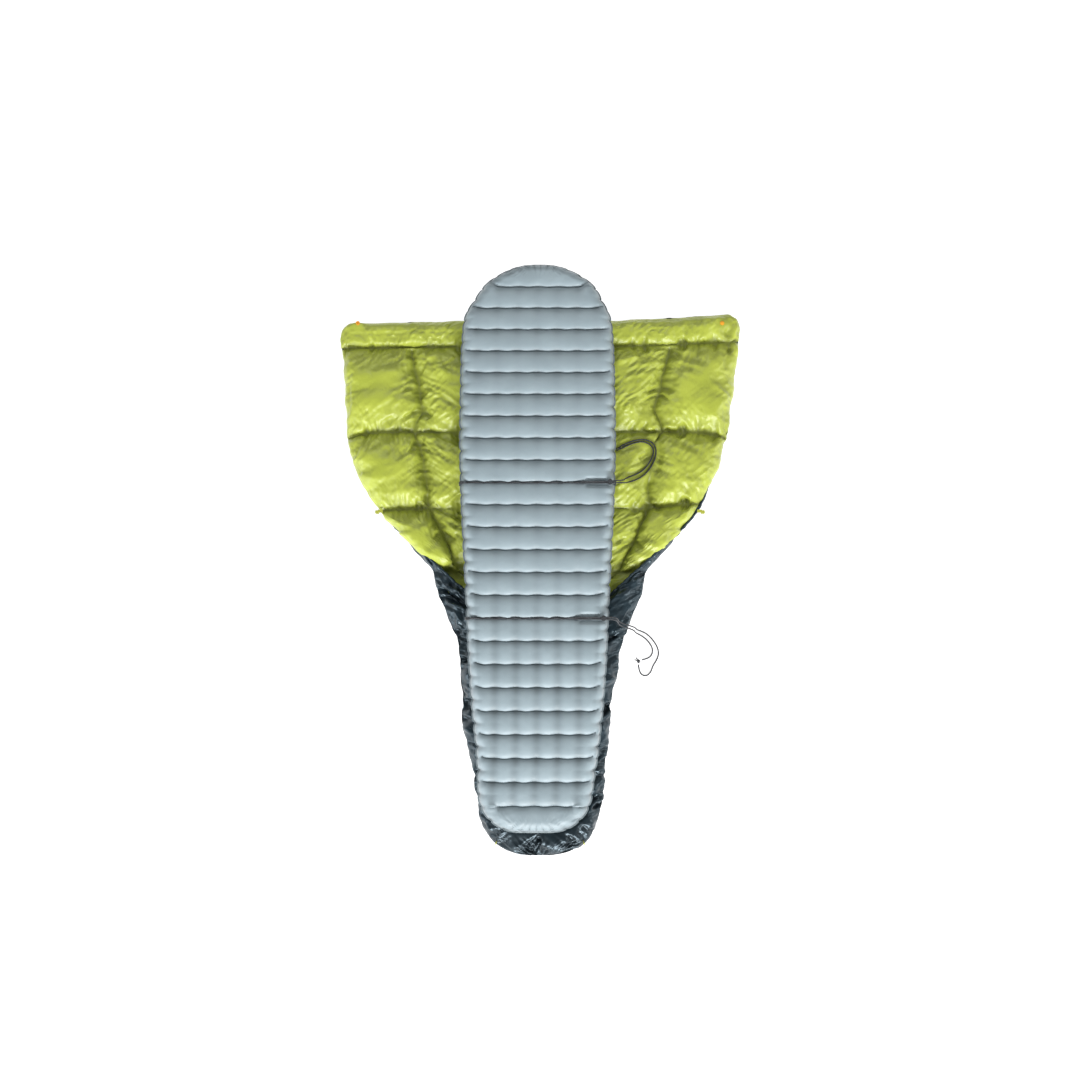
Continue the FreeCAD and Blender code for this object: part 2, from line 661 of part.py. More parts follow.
def cord_lock(word, y, half):
    x = size.pad_x + half - size.lock_inset
    label = word.lower()
    barrel = cylinder(f"{word}Barrel", size.lock_radius, size.lock_height, x, y, size.lock_bottom)
    slot = box(f"{word}Slot", x - 15, y - size.slot_width * 0.5, size.slot_bottom,
               30, size.slot_width, size.slot_height)
    well = cylinder(f"{word}Well", size.plunger_radius + size.plunger_fit, 20, x, y, size.spring_bottom)
    body = cut(f"{word}LockBody", barrel, fuse(f"{word}LockHollow", slot, well))
    keep(body, f"{label}_lock_body")
    low = size.spring_bottom + size.spring_height
    plunger = cylinder(f"{word}Plunger", size.plunger_radius, size.plunger_height, x, y, low)
    keep(plunger, f"{label}_lock_plunger")
    radius = size.plunger_radius - 0.3
    coil = cylinder(f"{word}CoilOuter", radius, size.spring_height, x, y, size.spring_bottom)
    hole = cylinder(f"{word}CoilHole", radius - size.spring_wall, 10, x, y, size.spring_bottom - 1)
    keep(cut(f"{word}Coil", coil, hole), f"{label}_lock_spring")


# Each route starts at its cord lock, drops over the pad's edge and runs on what lies below.
TAILS = {
    "upper_tail_a": [
        (231.4, 218.7, 139), (241, 219, 141.5), (251, 219.8, 141.8), (259.5, 221.5, 136),
        (265, 224, 126), (268.5, 227.5, 112), (271.5, 232, 95), (276, 237.5, 78), (284, 244, 63),
        (296, 250.5, 51.5), (311, 257, 44.5), (329, 266.5, 42), (347, 282, 41.7), (362, 304, 41.7),
        (373, 329, 41.7), (370, 347, 41.7), (357, 361.5, 41.7), (335, 369, 41.7), (311, 364, 41.7),
        (289, 356.5, 41.7), (269, 345.5, 42)],
    "upper_tail_b": [
        (231.4, 213.3, 139), (241, 213, 141.5), (251, 213, 141.8), (260, 213.8, 136),
        (266, 215.2, 126), (270, 217.5, 112), (274, 220.8, 95), (280, 224.8, 78), (289, 229.5, 63),
        (302, 235, 51.5), (317.5, 242, 44.5), (335.5, 252.5, 42), (354, 270, 41.7), (370, 295, 41.7),
        (380.5, 324, 41.7), (379, 350, 41.7), (364, 369.5, 41.7), (337, 376.5, 41.7),
        (309, 371.5, 41.7), (286, 363.5, 41.7), (265.5, 352.5, 42)],
    "lower_tail_a": [
        (207.9, -214.3, 139), (217.5, -214.2, 141.5), (227.5, -214.8, 141.8), (236, -216, 136),
        (241.5, -218, 126), (245, -220.5, 112), (248.5, -223.5, 96), (254, -226.5, 81),
        (264, -230, 69.5), (278, -234, 64), (291, -237.5, 61), (301, -240.5, 53), (306.5, -242.5, 40),
        (309.5, -244.5, 25), (316, -246.8, 11), (329.5, -250.8, 3.6), (347, -260, 2.6),
        (365, -278, 2.6), (380, -302, 2.6), (384, -324, 2.6), (376.5, -344, 2.6), (364.5, -361, 2.6),
        (358, -381, 2.6), (344, -395, 2.6), (327, -391, 2.6), (319, -375.5, 2.6), (317.5, -358, 3.2)],
    "lower_tail_b": [
        (207.9, -219.7, 139), (217.5, -220.2, 141.5), (227.8, -221.2, 141.6), (236, -222.8, 136),
        (241, -225.2, 126), (244.5, -228, 112), (247.5, -231.5, 96), (252.5, -235, 81),
        (262, -238.5, 69.5), (276, -242.5, 64), (288, -246.2, 61), (297.5, -249.2, 53),
        (302.5, -251.5, 40), (305.5, -253.8, 25), (311.5, -257, 11), (323.5, -262.5, 3.6),
        (340, -273, 2.6), (355, -289, 2.6), (364.5, -308, 2.6), (362, -326.5, 2.6),
        (349, -338.5, 2.6), (329, -343, 3.2)],
}
KNOTS = {"upper_tail_knot": (261.5, 346, 45.2), "lower_tail_knot": (318, -347, 6)}
KNOT_RADIUS = 5.6
ARC_SHARE = 0.45


def tail_tube(label, route):
    """A limp cord as a round tube on straight runs with a tangent arc at each point between them."""
    points = [Vector(*p) for p in route]
    edges, start, radii = [], points[0], []
    for before, here, after in zip(points, points[1:], points[2:]):
        into, out = (here - before).normalize(), (after - here).normalize()
        trim = ARC_SHARE * min(before.distanceToPoint(here), here.distanceToPoint(after))
        half_turn = into.getAngle(out) / 2
        radii.append(trim / math.tan(half_turn))
        first, last = here - into * trim, here + out * trim
        rise = math.hypot(radii[-1], trim) - radii[-1]
        middle = here + ((first + last) * 0.5 - here).normalize() * rise
        edges.append(Part.LineSegment(start, first).toShape())
        edges.append(Part.Arc(first, middle, last).toShape())
        start = last
    edges.append(Part.LineSegment(start, points[-1]).toShape())
    path = Part.Wire(edges)
    radius = size.cord.value / 2
    section = Part.Wire(Part.Circle(points[0], points[1] - points[0], radius).toShape())
    tube = Part.Wire(path).makePipeShell([section], True, True)
    expected = math.pi * radius ** 2 * path.Length
    print(f"{label}: {path.Length:.0f} mm, least radius {min(radii):.1f}, "
          f"volume ratio {tube.Volume / expected:.4f}")
    feature = document.addObject("Part::Feature", label.title().replace("_", ""))
    feature.Shape = tube
    keep(feature, label)


def knot(label, middle):
    ball = document.addObject("Part::Sphere", label.title().replace("_", ""))
    ball.Radius = KNOT_RADIUS
    ball.Placement.Base = Vector(*middle)
    keep(ball, label)


# ---------------------------------------------------------------- build, check and write

centre_panel()
centre_collar()
for side_sign, side_word in ((-1, "left"), (1, "right")):
    wing(side_sign, side_word)
    wing_trim(side_sign, side_word)
footbox()
sleeping_pad()
valve()
for strap_word, strap_y, strap_half in (("Upper", size.upper_strap_y, size.upper_strap_half),
                                        ("Lower", size.lower_strap_y, size.lower_strap_half)):
    strap_band(strap_word, strap_y, strap_half)
    cord_lock(strap_word, strap_y, strap_half)
for tail_label, tail_route in TAILS.items():
    tail_tube(tail_label, tail_route)
for knot_label, knot_middle in KNOTS.items():
    knot(knot_label, knot_middle)

document.recompute()
for obj in document.Objects:
    if {"Invalid", "Error"} & set(obj.State):
        raise RuntimeError(f"{obj.Name} failed: {obj.State}")
for label, obj in nodes.items():
    if obj.Shape.isNull() or not obj.Shape.isValid() or not obj.Shape.Solids:
        raise RuntimeError(f"{label} has no valid solid")

os.makedirs("parts", exist_ok=True)
for label, obj in nodes.items():
    obj.Shape.exportStep(f"parts/{label}.step")
whole = Part.makeCompound([obj.Shape for obj in nodes.values()]).BoundBox
print(len(nodes), "nodes,", round(sum(o.Shape.Volume for o in nodes.values()) / 1e9, 4), "cubic metres")
print("whole:", [round(v, 1) for v in (whole.XMin, whole.XMax, whole.YMin, whole.YMax, whole.ZMin,
                                       whole.ZMax)])
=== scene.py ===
import math

import bpy
import numpy as np
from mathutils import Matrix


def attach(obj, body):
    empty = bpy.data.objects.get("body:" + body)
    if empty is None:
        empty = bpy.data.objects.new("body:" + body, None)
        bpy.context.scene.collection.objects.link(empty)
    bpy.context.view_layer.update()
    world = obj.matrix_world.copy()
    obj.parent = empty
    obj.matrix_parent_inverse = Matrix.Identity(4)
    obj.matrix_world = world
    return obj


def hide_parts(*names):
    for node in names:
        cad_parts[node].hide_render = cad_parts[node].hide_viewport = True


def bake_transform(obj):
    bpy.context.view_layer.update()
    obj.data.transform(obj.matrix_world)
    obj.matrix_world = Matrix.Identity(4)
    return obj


# A down camp quilt lying on its face with its open back up, and the sleeping pad strapped to it.
# Everything is in metres in the CAD part's frame: X across, Y from foot to head, Z up.

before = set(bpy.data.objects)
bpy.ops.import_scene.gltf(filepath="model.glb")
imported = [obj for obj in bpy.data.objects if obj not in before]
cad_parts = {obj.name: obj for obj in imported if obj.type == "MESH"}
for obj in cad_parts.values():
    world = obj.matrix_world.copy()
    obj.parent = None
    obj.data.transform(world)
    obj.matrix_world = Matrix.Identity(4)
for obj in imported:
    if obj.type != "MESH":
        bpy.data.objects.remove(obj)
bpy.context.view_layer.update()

MM = 0.001
UP = np.array([0, 0, 1.0])


# ---------------------------------------------------------------- small helpers

def smooth_step(t):
    t = np.clip(t, 0, 1)
    return t * t * (3 - 2 * t)


def curve_through(points, at):
    """Catmull-Rom through (place, value) points, read at the places in at."""
    places = np.array([p[0] for p in points], float)
    values = np.array([p[1] for p in points], float)
    if places[0] > places[-1]:
        places, values = places[::-1], values[::-1]
    slopes = np.gradient(values, places)
    at = np.clip(at, places[0], places[-1])
    k = np.clip(np.searchsorted(places, at) - 1, 0, len(places) - 2)
    step = places[k + 1] - places[k]
    t = (at - places[k]) / step
    h00, h10 = 2 * t**3 - 3 * t**2 + 1, t**3 - 2 * t**2 + t
    h01, h11 = -2 * t**3 + 3 * t**2, t**3 - t**2
    return h00 * values[k] + h10 * step * slopes[k] + h01 * values[k + 1] + h11 * step * slopes[k + 1]


def ripples(x, y, wavelength, seed, waves=14, direction=None, spread=math.pi):
    """Smooth noise between about -1 and 1, as a sum of waves; direction is the way the waves run."""
    own = np.random.default_rng(seed)
    total = np.zeros(np.broadcast(x, y).shape)
    for _ in range(waves):
        turn = (direction or 0) + (own.random() - 0.5) * 2 * spread
        k = 2 * math.pi / (wavelength * (0.65 + 0.8 * own.random()))
        total += np.sin(k * (x * math.cos(turn) + y * math.sin(turn)) + own.random() * 6.28)
    return total / math.sqrt(waves)


def grid_faces(rows, columns, closed=False):
    """Quads of a rows by columns grid; closed joins the last column to the first."""
    faces = []
    last = columns if closed else columns - 1
    for r in range(rows - 1):
        for c in range(last):
            d = (c + 1) % columns
            faces.append((r * columns + c, r * columns + d, (r + 1) * columns + d, (r + 1) * columns + c))
    return faces


def mesh_object(name, points, faces, material=None, smooth=True):
    mesh = bpy.data.meshes.new(name)
    mesh.from_pydata([tuple(p) for p in np.asarray(points, float).reshape(-1, 3)], [], faces)
    mesh.validate()
    mesh.update()
    obj = bpy.data.objects.new(name, mesh)
    bpy.context.scene.collection.objects.link(obj)
    if material:
        mesh.materials.append(material)
    mesh.polygons.foreach_set("use_smooth", [smooth] * len(mesh.polygons))
    return obj


def cloth_piece(name, points, faces, material):
    """A mesh made once finer and smoother when it is shown."""
    obj = mesh_object(name, points, faces, material)
    modifier = obj.modifiers.new("Smooth", "SUBSURF")
    modifier.levels = modifier.render_levels = 1
    return obj


def turned(faces, side):
    """Faces of a grid laid out for the right half, turned over for the left half."""
    return faces if side > 0 else [f[::-1] for f in faces]


def rows_across(rows, columns):
    """A grid with one value per row."""
    return np.repeat(rows[:, None], columns, axis=1)


def distance_to(outline, x, y):
    """Distance from an outline's points, for a grid of places."""
    spots = np.stack([np.ravel(x), np.ravel(y)], 1)
    best = np.full(len(spots), 1.0)
    for part in np.array_split(np.arange(len(spots)), 30):
        gap = np.hypot(spots[part, None, 0] - outline[None, :, 0], spots[part, None, 1] - outline[None, :, 1])
        best[part] = gap.min(axis=1)
    return best.reshape(np.shape(x))


# ---------------------------------------------------------------- outlines, from the seams' places

TIP_Y = 0.071  # the tips of the footbox's mouth
TOE_Y = -0.951
FOOT_TOP_Y, MOUTH_FOOT_Y = -0.060, -0.320  # the footbox's first cross seam, and the foot end of its mouth
SEAM_TOP_Y = 0.69  # where the long seams stop, at the collar
SNAP_X, SNAP_Y, SNAP_Z = 0.606, 0.770, 0.0438  # the collar's snaps
EDGE = [  # (y, half width) of the quilt's edge, from the footbox's mouth tips to the collar
    (0.071, 0.453), (0.103, 0.487), (0.150, 0.525), (0.226, 0.568), (0.305, 0.604), (0.405, 0.628),
    (0.545, 0.643), (0.650, 0.656), (0.705, 0.667), (0.745, 0.671), (0.775, 0.658), (0.794, 0.632)]
FOOT_EDGE = [  # the same, from the toe's straight end to the tips
    (-0.870, 0.176), (-0.841, 0.186), (-0.782, 0.198), (-0.711, 0.207), (-0.659, 0.214), (-0.574, 0.232),
    (-0.471, 0.238), (-0.371, 0.250), (-0.300, 0.262), (-0.250, 0.281), (-0.171, 0.313),
    (-0.120, 0.331), (-0.077, 0.341), (-0.060, 0.346), (-0.018, 0.381), (0.019, 0.414), (0.071, 0.453)]
MOUTH = [(-0.320, 0.0), (-0.285, 0.042), (-0.123, 0.240), (0.071, 0.453)]  # edge of the footbox's back
LONG_SEAM = [  # the seam between the centre panel and a wing
    (-0.330, 0.110), (-0.088, 0.248), (-0.016, 0.275), (0.033, 0.302), (0.098, 0.332), (0.150, 0.362),
    (0.207, 0.360), (0.274, 0.370), (0.357, 0.388), (0.412, 0.408), (0.481, 0.386), (0.559, 0.400),
    (0.690, 0.432)]
CROSS_SEAMS = [-0.330, -0.060, 0.150, 0.405, 0.700]
HEAD_Y = 0.794


def edge_half(y):
    return np.where(y > TIP_Y, curve_through(EDGE, np.maximum(y, TIP_Y)),
                    curve_through(FOOT_EDGE, np.minimum(y, TIP_Y)))


def mouth_half(y):
    return curve_through(MOUTH, y)


# ---------------------------------------------------------------- materials

def nodes_of(name):
    material = bpy.data.materials.new(name)
    material.use_nodes = True
    tree = material.node_tree
    shader = tree.nodes["Principled BSDF"]
    return material, tree, shader


def add(tree, kind, **values):
    node = tree.nodes.new(kind)
    for key, value in values.items():
        if key in node.inputs:
            node.inputs[key].default_value = value
        else:
            setattr(node, key, value)
    return node


def pattern(tree, spot, kind, **values):
    """A texture node read at a place."""
    node = add(tree, kind, **values)
    tree.links.new(spot, node.inputs["Vector"])
    return node


def ramp(tree, factor, stops):
    node = tree.nodes.new("ShaderNodeValToRGB")
    node.color_ramp.elements[0].position, node.color_ramp.elements[0].color = stops[0][0], (*stops[0][1], 1)
    node.color_ramp.elements[1].position, node.color_ramp.elements[1].color = stops[-1][0], (*stops[-1][1], 1)
    for position, colour in stops[1:-1]:
        element = node.color_ramp.elements.new(position)
        element.color = (*colour, 1)
    tree.links.new(factor, node.inputs["Fac"])
    return node.outputs["Color"]


def darkened(tree, colour, shade_depth):
    """The colour with painted shade: darker where the mesh says that it lies deep in a fold."""
    painted_shade = add(tree, "ShaderNodeAttribute", attribute_name="painted_shade")
    keep = add(tree, "ShaderNodeMapRange")
    keep.inputs["To Min"].default_value = 1.0
    keep.inputs["To Max"].default_value = 1.0 - shade_depth
    tree.links.new(painted_shade.outputs["Fac"], keep.inputs["Value"])
    mix = add(tree, "ShaderNodeVectorMath", operation="SCALE")
    tree.links.new(colour, mix.inputs[0])
    tree.links.new(keep.outputs["Result"], mix.inputs["Scale"])
    return mix.outputs["Vector"]


def bumped(tree, shader, *layers):
    """Layers of bump, each (height, strength, distance), one on another."""
    below = None
    for height, strength, distance in layers:
        bump = add(tree, "ShaderNodeBump", Strength=strength, Distance=distance)
        tree.links.new(height, bump.inputs["Height"])
        if below:
            tree.links.new(below, bump.inputs["Normal"])
        below = bump.outputs["Normal"]
    tree.links.new(below, shader.inputs["Normal"])


def nylon(name, dark, middle, light, rough, sheen, crinkle, shade_depth, shine=0.48, tint=(1, 1, 1)):
    """Thin down-proof nylon: colour that drifts, shade painted into its folds, a fine weave and creases too small to
    model.
    """
    material, tree, shader = nodes_of(name)
    link = tree.links.new
    spot = add(tree, "ShaderNodeTexCoord").outputs["Object"]
    drift = pattern(tree, spot, "ShaderNodeTexNoise", Scale=9.0, Detail=4.0, Roughness=0.6)
    colour = ramp(tree, drift.outputs["Fac"], [(0.25, dark), (0.5, middle), (0.78, light)])
    # Painted shade: the colour is darkened where the mesh says the cloth lies deep in a fold.
    link(darkened(tree, colour, shade_depth), shader.inputs["Base Color"])
    gloss = pattern(tree, spot, "ShaderNodeTexNoise", Scale=60.0, Detail=3.0)
    spread = add(tree, "ShaderNodeMapRange")
    spread.inputs["To Min"].default_value = rough - 0.06
    spread.inputs["To Max"].default_value = rough + 0.08
    link(gloss.outputs["Fac"], spread.inputs["Value"])
    painted_shade = add(tree, "ShaderNodeAttribute", attribute_name="painted_shade")
    dull = add(tree, "ShaderNodeMath", operation="MULTIPLY_ADD")
    dull.inputs[1].default_value = 0.06
    link(painted_shade.outputs["Fac"], dull.inputs[0])
    link(spread.outputs["Result"], dull.inputs[2])
    link(dull.outputs["Value"], shader.inputs["Roughness"])
    shader.inputs["Sheen Weight"].default_value = sheen
    shader.inputs["Sheen Roughness"].default_value = 0.35
    shader.inputs["Specular Tint"].default_value = (*tint, 1)
    shader.inputs["Specular IOR Level"].default_value = shine

    crease = add(tree, "ShaderNodeTexNoise", Scale=38.0, Detail=5.0, Roughness=0.55, Distortion=1.2)
    stretch = add(tree, "ShaderNodeMapping")
    stretch.inputs["Scale"].default_value = (1.0, 0.55, 1.0)
    link(spot, stretch.inputs["Vector"])
    link(stretch.outputs["Vector"], crease.inputs["Vector"])
    ridge = add(tree, "ShaderNodeMath", operation="PINGPONG")
    ridge.inputs[1].default_value = 0.5
    link(crease.outputs["Fac"], ridge.inputs[0])
    weave = pattern(tree, spot, "ShaderNodeTexNoise", Scale=900.0)
    bumped(tree, shader, (ridge.outputs["Value"], crinkle, 0.009), (weave.outputs["Fac"], 0.12, 0.0006))
    return material


# ---------------------------------------------------------------- cloth simulation

def relaxed(points, faces, cut, pinned, pressure, frames, most):
    """Blender's cloth on a sheet that starts at points and is cut to a larger shape, puffed up from inside.

    The points in the mask pinned stay put, and no other moves farther than most."""
    obj = mesh_object("cloth_trial", points, faces)
    obj.shape_key_add(name="Basis")
    key = obj.shape_key_add(name="cut")
    key.data.foreach_set("co", np.ascontiguousarray(cut, np.float32).ravel())
    group = obj.vertex_groups.new(name="pinned")
    group.add([int(i) for i in np.flatnonzero(pinned)], 1.0, "REPLACE")
    cloth = obj.modifiers.new("Cloth", "CLOTH")
    settings = cloth.settings
    settings.quality = 4
    settings.mass = 0.15
    settings.tension_stiffness = settings.compression_stiffness = 15.0
    settings.shear_stiffness = 6.0
    settings.bending_stiffness = 0.02
    settings.air_damping = 2.0
    settings.use_pressure = True
    settings.uniform_pressure_force = pressure
    settings.vertex_group_mass = group.name
    settings.rest_shape_key = key
    settings.effector_weights.gravity = 0
    cloth.collision_settings.use_collision = False
    cloth.point_cache.frame_start, cloth.point_cache.frame_end = 1, frames
    scene = bpy.context.scene
    for n in range(1, frames + 1):
        scene.frame_set(n)
    shape = obj.evaluated_get(bpy.context.evaluated_depsgraph_get()).data
    found = np.empty(len(points) * 3, np.float32)
    shape.vertices.foreach_get("co", found)
    bpy.data.objects.remove(obj, do_unlink=True)
    scene.frame_set(1)
    moved = found.reshape(-1, 3).astype(float) - points
    far = np.linalg.norm(moved, axis=1)
    return points + moved * (np.minimum(far, most) / np.maximum(far, 1e-6))[:, None]


def soft_cap(z, cap):
    """z, eased over the last 6 mm so that it stays below cap."""
    soft = 0.006
    over = np.clip((z - cap + soft) / soft, 0, None)
    return np.where(over > 0, cap - soft + soft * (1 - np.exp(-over)), z)


# ---------------------------------------------------------------- pad outline, used to press the quilt

PAD_X = -0.008
PAD_EDGE = [(-0.715, 0.184), (-0.572, 0.200), (-0.470, 0.211), (-0.314, 0.222), (-0.157, 0.230),
            (0.035, 0.241), (0.164, 0.248), (0.360, 0.2545), (0.500, 0.254), (0.677, 0.2505), (0.761, 0.245)]
PAD_HEAD_Y, PAD_HEAD_ROUND = 0.951, 0.190
PAD_FOOT_Y, PAD_FOOT_ROUND, PAD_FOOT_HALF = -0.875, 0.120, 0.172
PAD_HEAD_TAPER = [(0.740, 0.0), (0.760, 0.001), (0.786, 0.008), (0.810, 0.015), (0.840, 0.021), (0.870, 0.0225),
                  (0.900, 0.027), (0.920, 0.033), (0.951, 0.037)]


def pad_half(y):
    """Half width of the pad's outline."""
    half = curve_through(PAD_EDGE, y)
    past = np.clip(y - (PAD_HEAD_Y - PAD_HEAD_ROUND), 0, PAD_HEAD_ROUND)
    half = half - PAD_HEAD_ROUND + np.sqrt(PAD_HEAD_ROUND**2 - past**2)
    past = np.clip(PAD_FOOT_Y + PAD_FOOT_ROUND - y, 0, PAD_FOOT_ROUND)
    drop = PAD_FOOT_ROUND - np.sqrt(PAD_FOOT_ROUND**2 - past**2)
    narrow = np.clip((-0.715 - y) / 0.16, 0, 1) * (0.184 - PAD_FOOT_HALF)
    return half - drop - narrow - curve_through(PAD_HEAD_TAPER, y)


def pad_lean(y):
    """The pad's middle line drifts a little: right at its head and left at its foot."""
    return 0.005 * smooth_step((y - 0.78) / 0.10) - 0.008 * smooth_step((-0.60 - y) / 0.20)


def under_pad(x, y):
    """1 well under the pad, 0 away from it."""
    inside = pad_half(np.clip(y, PAD_FOOT_Y, PAD_HEAD_Y)) - np.abs(x - PAD_X)
    along = np.minimum(y - PAD_FOOT_Y, PAD_HEAD_Y - y)
    return smooth_step((np.minimum(inside, along) + 0.004) / 0.030)


# ---------------------------------------------------------------- cord tails, which lie on the quilt

TAILS = {
    "upper_tail_a": [
        (231.4, 218.7, 139), (241, 219, 141.5), (251, 219.8, 141.8), (259.5, 221.5, 136),
        (265, 224, 126), (268.5, 227.5, 112), (271.5, 232, 95), (276, 237.5, 78), (284, 244, 63),
        (296, 250.5, 51.5), (311, 257, 44.5), (329, 266.5, 42), (347, 282, 41.7), (362, 304, 41.7),
        (373, 329, 41.7), (370, 347, 41.7), (357, 361.5, 41.7), (335, 369, 41.7), (311, 364, 41.7),
        (289, 356.5, 41.7), (269, 345.5, 42)],
    "upper_tail_b": [
        (231.4, 213.3, 139), (241, 213, 141.5), (251, 213, 141.8), (260, 213.8, 136),
        (266, 215.2, 126), (270, 217.5, 112), (274, 220.8, 95), (280, 224.8, 78), (289, 229.5, 63),
        (302, 235, 51.5), (317.5, 242, 44.5), (335.5, 252.5, 42), (354, 270, 41.7), (370, 295, 41.7),
        (380.5, 324, 41.7), (379, 350, 41.7), (364, 369.5, 41.7), (337, 376.5, 41.7),
        (309, 371.5, 41.7), (286, 363.5, 41.7), (265.5, 352.5, 42)],
    "lower_tail_a": [
        (207.9, -214.3, 139), (217.5, -214.2, 141.5), (227.5, -214.8, 141.8), (236, -216, 136),
        (241.5, -218, 126), (245, -220.5, 112), (248.5, -223.5, 96), (254, -226.5, 81),
        (264, -230, 69.5), (278, -234, 64), (291, -237.5, 61), (301, -240.5, 53), (306.5, -242.5, 40),
        (309.5, -244.5, 25), (316, -246.8, 11), (329.5, -250.8, 3.6), (347, -260, 2.6),
        (365, -278, 2.6), (380, -302, 2.6), (384, -324, 2.6), (376.5, -344, 2.6), (364.5, -361, 2.6),
        (358, -381, 2.6), (344, -395, 2.6), (327, -391, 2.6), (319, -375.5, 2.6), (317.5, -358, 3.2)],
    "lower_tail_b": [
        (207.9, -219.7, 139), (217.5, -220.2, 141.5), (227.8, -221.2, 141.6), (236, -222.8, 136),
        (241, -225.2, 126), (244.5, -228, 112), (247.5, -231.5, 96), (252.5, -235, 81),
        (262, -238.5, 69.5), (276, -242.5, 64), (288, -246.2, 61), (297.5, -249.2, 53),
        (302.5, -251.5, 40), (305.5, -253.8, 25), (311.5, -257, 11), (323.5, -262.5, 3.6),
        (340, -273, 2.6), (355, -289, 2.6), (364.5, -308, 2.6), (362, -326.5, 2.6),
        (349, -338.5, 2.6), (329, -343, 3.2)],
}
CORD = 0.0045


def laid_under_cords(points):
    """Bring cloth up or down to just touch the cord tails that lie on it."""
    points = points.copy()
    for name, route in TAILS.items():
        line = np.array(route) * MM
        line = line[line[:, 2] < 0.066]
        fine = np.concatenate([np.linspace(a, b, 6) for a, b in zip(line, line[1:])])
        near = (np.abs(points[:, 0] - 0.33) < 0.12) & (points[:, 2] > 0.012)
        index = np.flatnonzero(near)
        apart = np.hypot(points[index, None, 0] - fine[None, :, 0], points[index, None, 1] - fine[None, :, 1])
        closest = apart.argmin(axis=1)
        distance = apart[np.arange(len(index)), closest]
        target = fine[closest, 2] - CORD * 0.5 - 0.0006
        z = points[index, 2]
        pull = np.where(z > target, 1 - smooth_step((distance - 0.004) / 0.022),
                        1 - smooth_step((distance - 0.003) / 0.030))
        if name.startswith("lower"):
            pull = np.where(z > target, pull, 0)
        points[index, 2] = z + (target - z) * pull
    return points


# ---------------------------------------------------------------- open part of the quilt

def liner_grid(side):
    """Places of the liner's half: (rows, columns, 2), the rows that are seams and the long seam's column."""
    counts, long_column = [34, 36, 44, 52, 20], 60
    stops = CROSS_SEAMS + [HEAD_Y]
    y_rows = np.concatenate([np.linspace(a, b, n, endpoint=False)
                             for a, b, n in zip(stops, stops[1:], counts)] + [[HEAD_Y]])
    seam_rows = list(np.cumsum([0] + counts[:-1]))[1:]
    edge = np.where(y_rows > TIP_Y, edge_half(y_rows) - 0.001,
                    np.maximum(mouth_half(np.minimum(y_rows, TIP_Y)) + 0.010, 0.060))
    hem = edge - np.where(y_rows < TIP_Y, 0.052, 0.052 - 0.028 * smooth_step((y_rows - TIP_Y) / 0.08))
    hem = np.maximum(hem, edge * 0.62)
    long_seam = np.minimum(curve_through(LONG_SEAM, y_rows), hem * 0.94)
    sections = [(0 * edge, long_seam, long_column), (long_seam, hem, 40), (hem, edge, 9)]
    x = np.concatenate([a[:, None] + (b - a)[:, None] * np.linspace(0, 1, n, endpoint=False)[None, :]
                        for a, b, n in sections] + [edge[:, None]], axis=1)
    y = rows_across(y_rows, x.shape[1])
    skew = np.interp(y_rows, [0.15, 0.405, 0.70], [0.0, 1.0, 0.0])[:, None]
    y = y - skew * 0.024 * np.clip((x - 0.48) / 0.15, 0, 1.2) ** 2
    rise = np.interp(y_rows, [-0.06, 0.15, 0.405], [0.0, 1.0, 0.0])[:, None]
    y = y + rise * 0.014 * np.clip((x - 0.36) / 0.15, 0, 1) * (1 if side > 0 else -0.6)
    return np.stack([x * side, y], axis=2), seam_rows, long_column


def pillow(gap, radius):
    """Rounded rise of a stuffed cell with distance from its seam: 0 at the seam, 1 past the radius."""
    t = np.clip(gap / radius, 0, 1)
    return np.sqrt(np.clip(1 - (1 - t) ** 2, 0, 1))


def gathers(along, gap, seed, wavelength=0.019, reach=0.030, height=0.0034, slant=0.0):
    """Creases that run out from a seam where more cloth is sewn into it than its length."""
    along = along + slant * gap
    fine = ripples(along, gap * 0.35, wavelength, seed, 12)
    broad = ripples(along, gap * 0.35, wavelength * 2.3, seed + 1, 10)
    bold = 0.55 + 0.45 * np.clip(ripples(along, 0 * gap, 0.11, seed + 2, 8), -1, 1)
    near = np.exp(-gap / reach) * np.clip(gap / 0.005, 0, 1)
    wide = np.exp(-gap / (reach * 2.0)) * np.clip(gap / 0.010, 0, 1)
    return height * bold * ((0.35 - np.abs(fine)) * near + 0.9 * (0.35 - np.abs(broad)) * wide)


def along_normals(points, faces, amount):
    """Points moved by an amount along their own normals."""
    trial = mesh_object("normal_trial", points, faces)
    normals = np.empty(len(points) * 3, np.float32)
    trial.data.vertex_normals.foreach_get("vector", normals)
    bpy.data.objects.remove(trial, do_unlink=True)
    return points + normals.reshape(-1, 3) * np.ravel(amount)[:, None]


def set_painted_shade(obj, amount):
    """How much painted shade each point gets, 0 to 1, mostly where it lies deep in a fold: the materials darken their
    colour there.
    """
    layer = obj.data.attributes.new("painted_shade", "FLOAT", "POINT")
    layer.data.foreach_set("value", np.ascontiguousarray(np.clip(np.ravel(amount), 0, 1), np.float32))


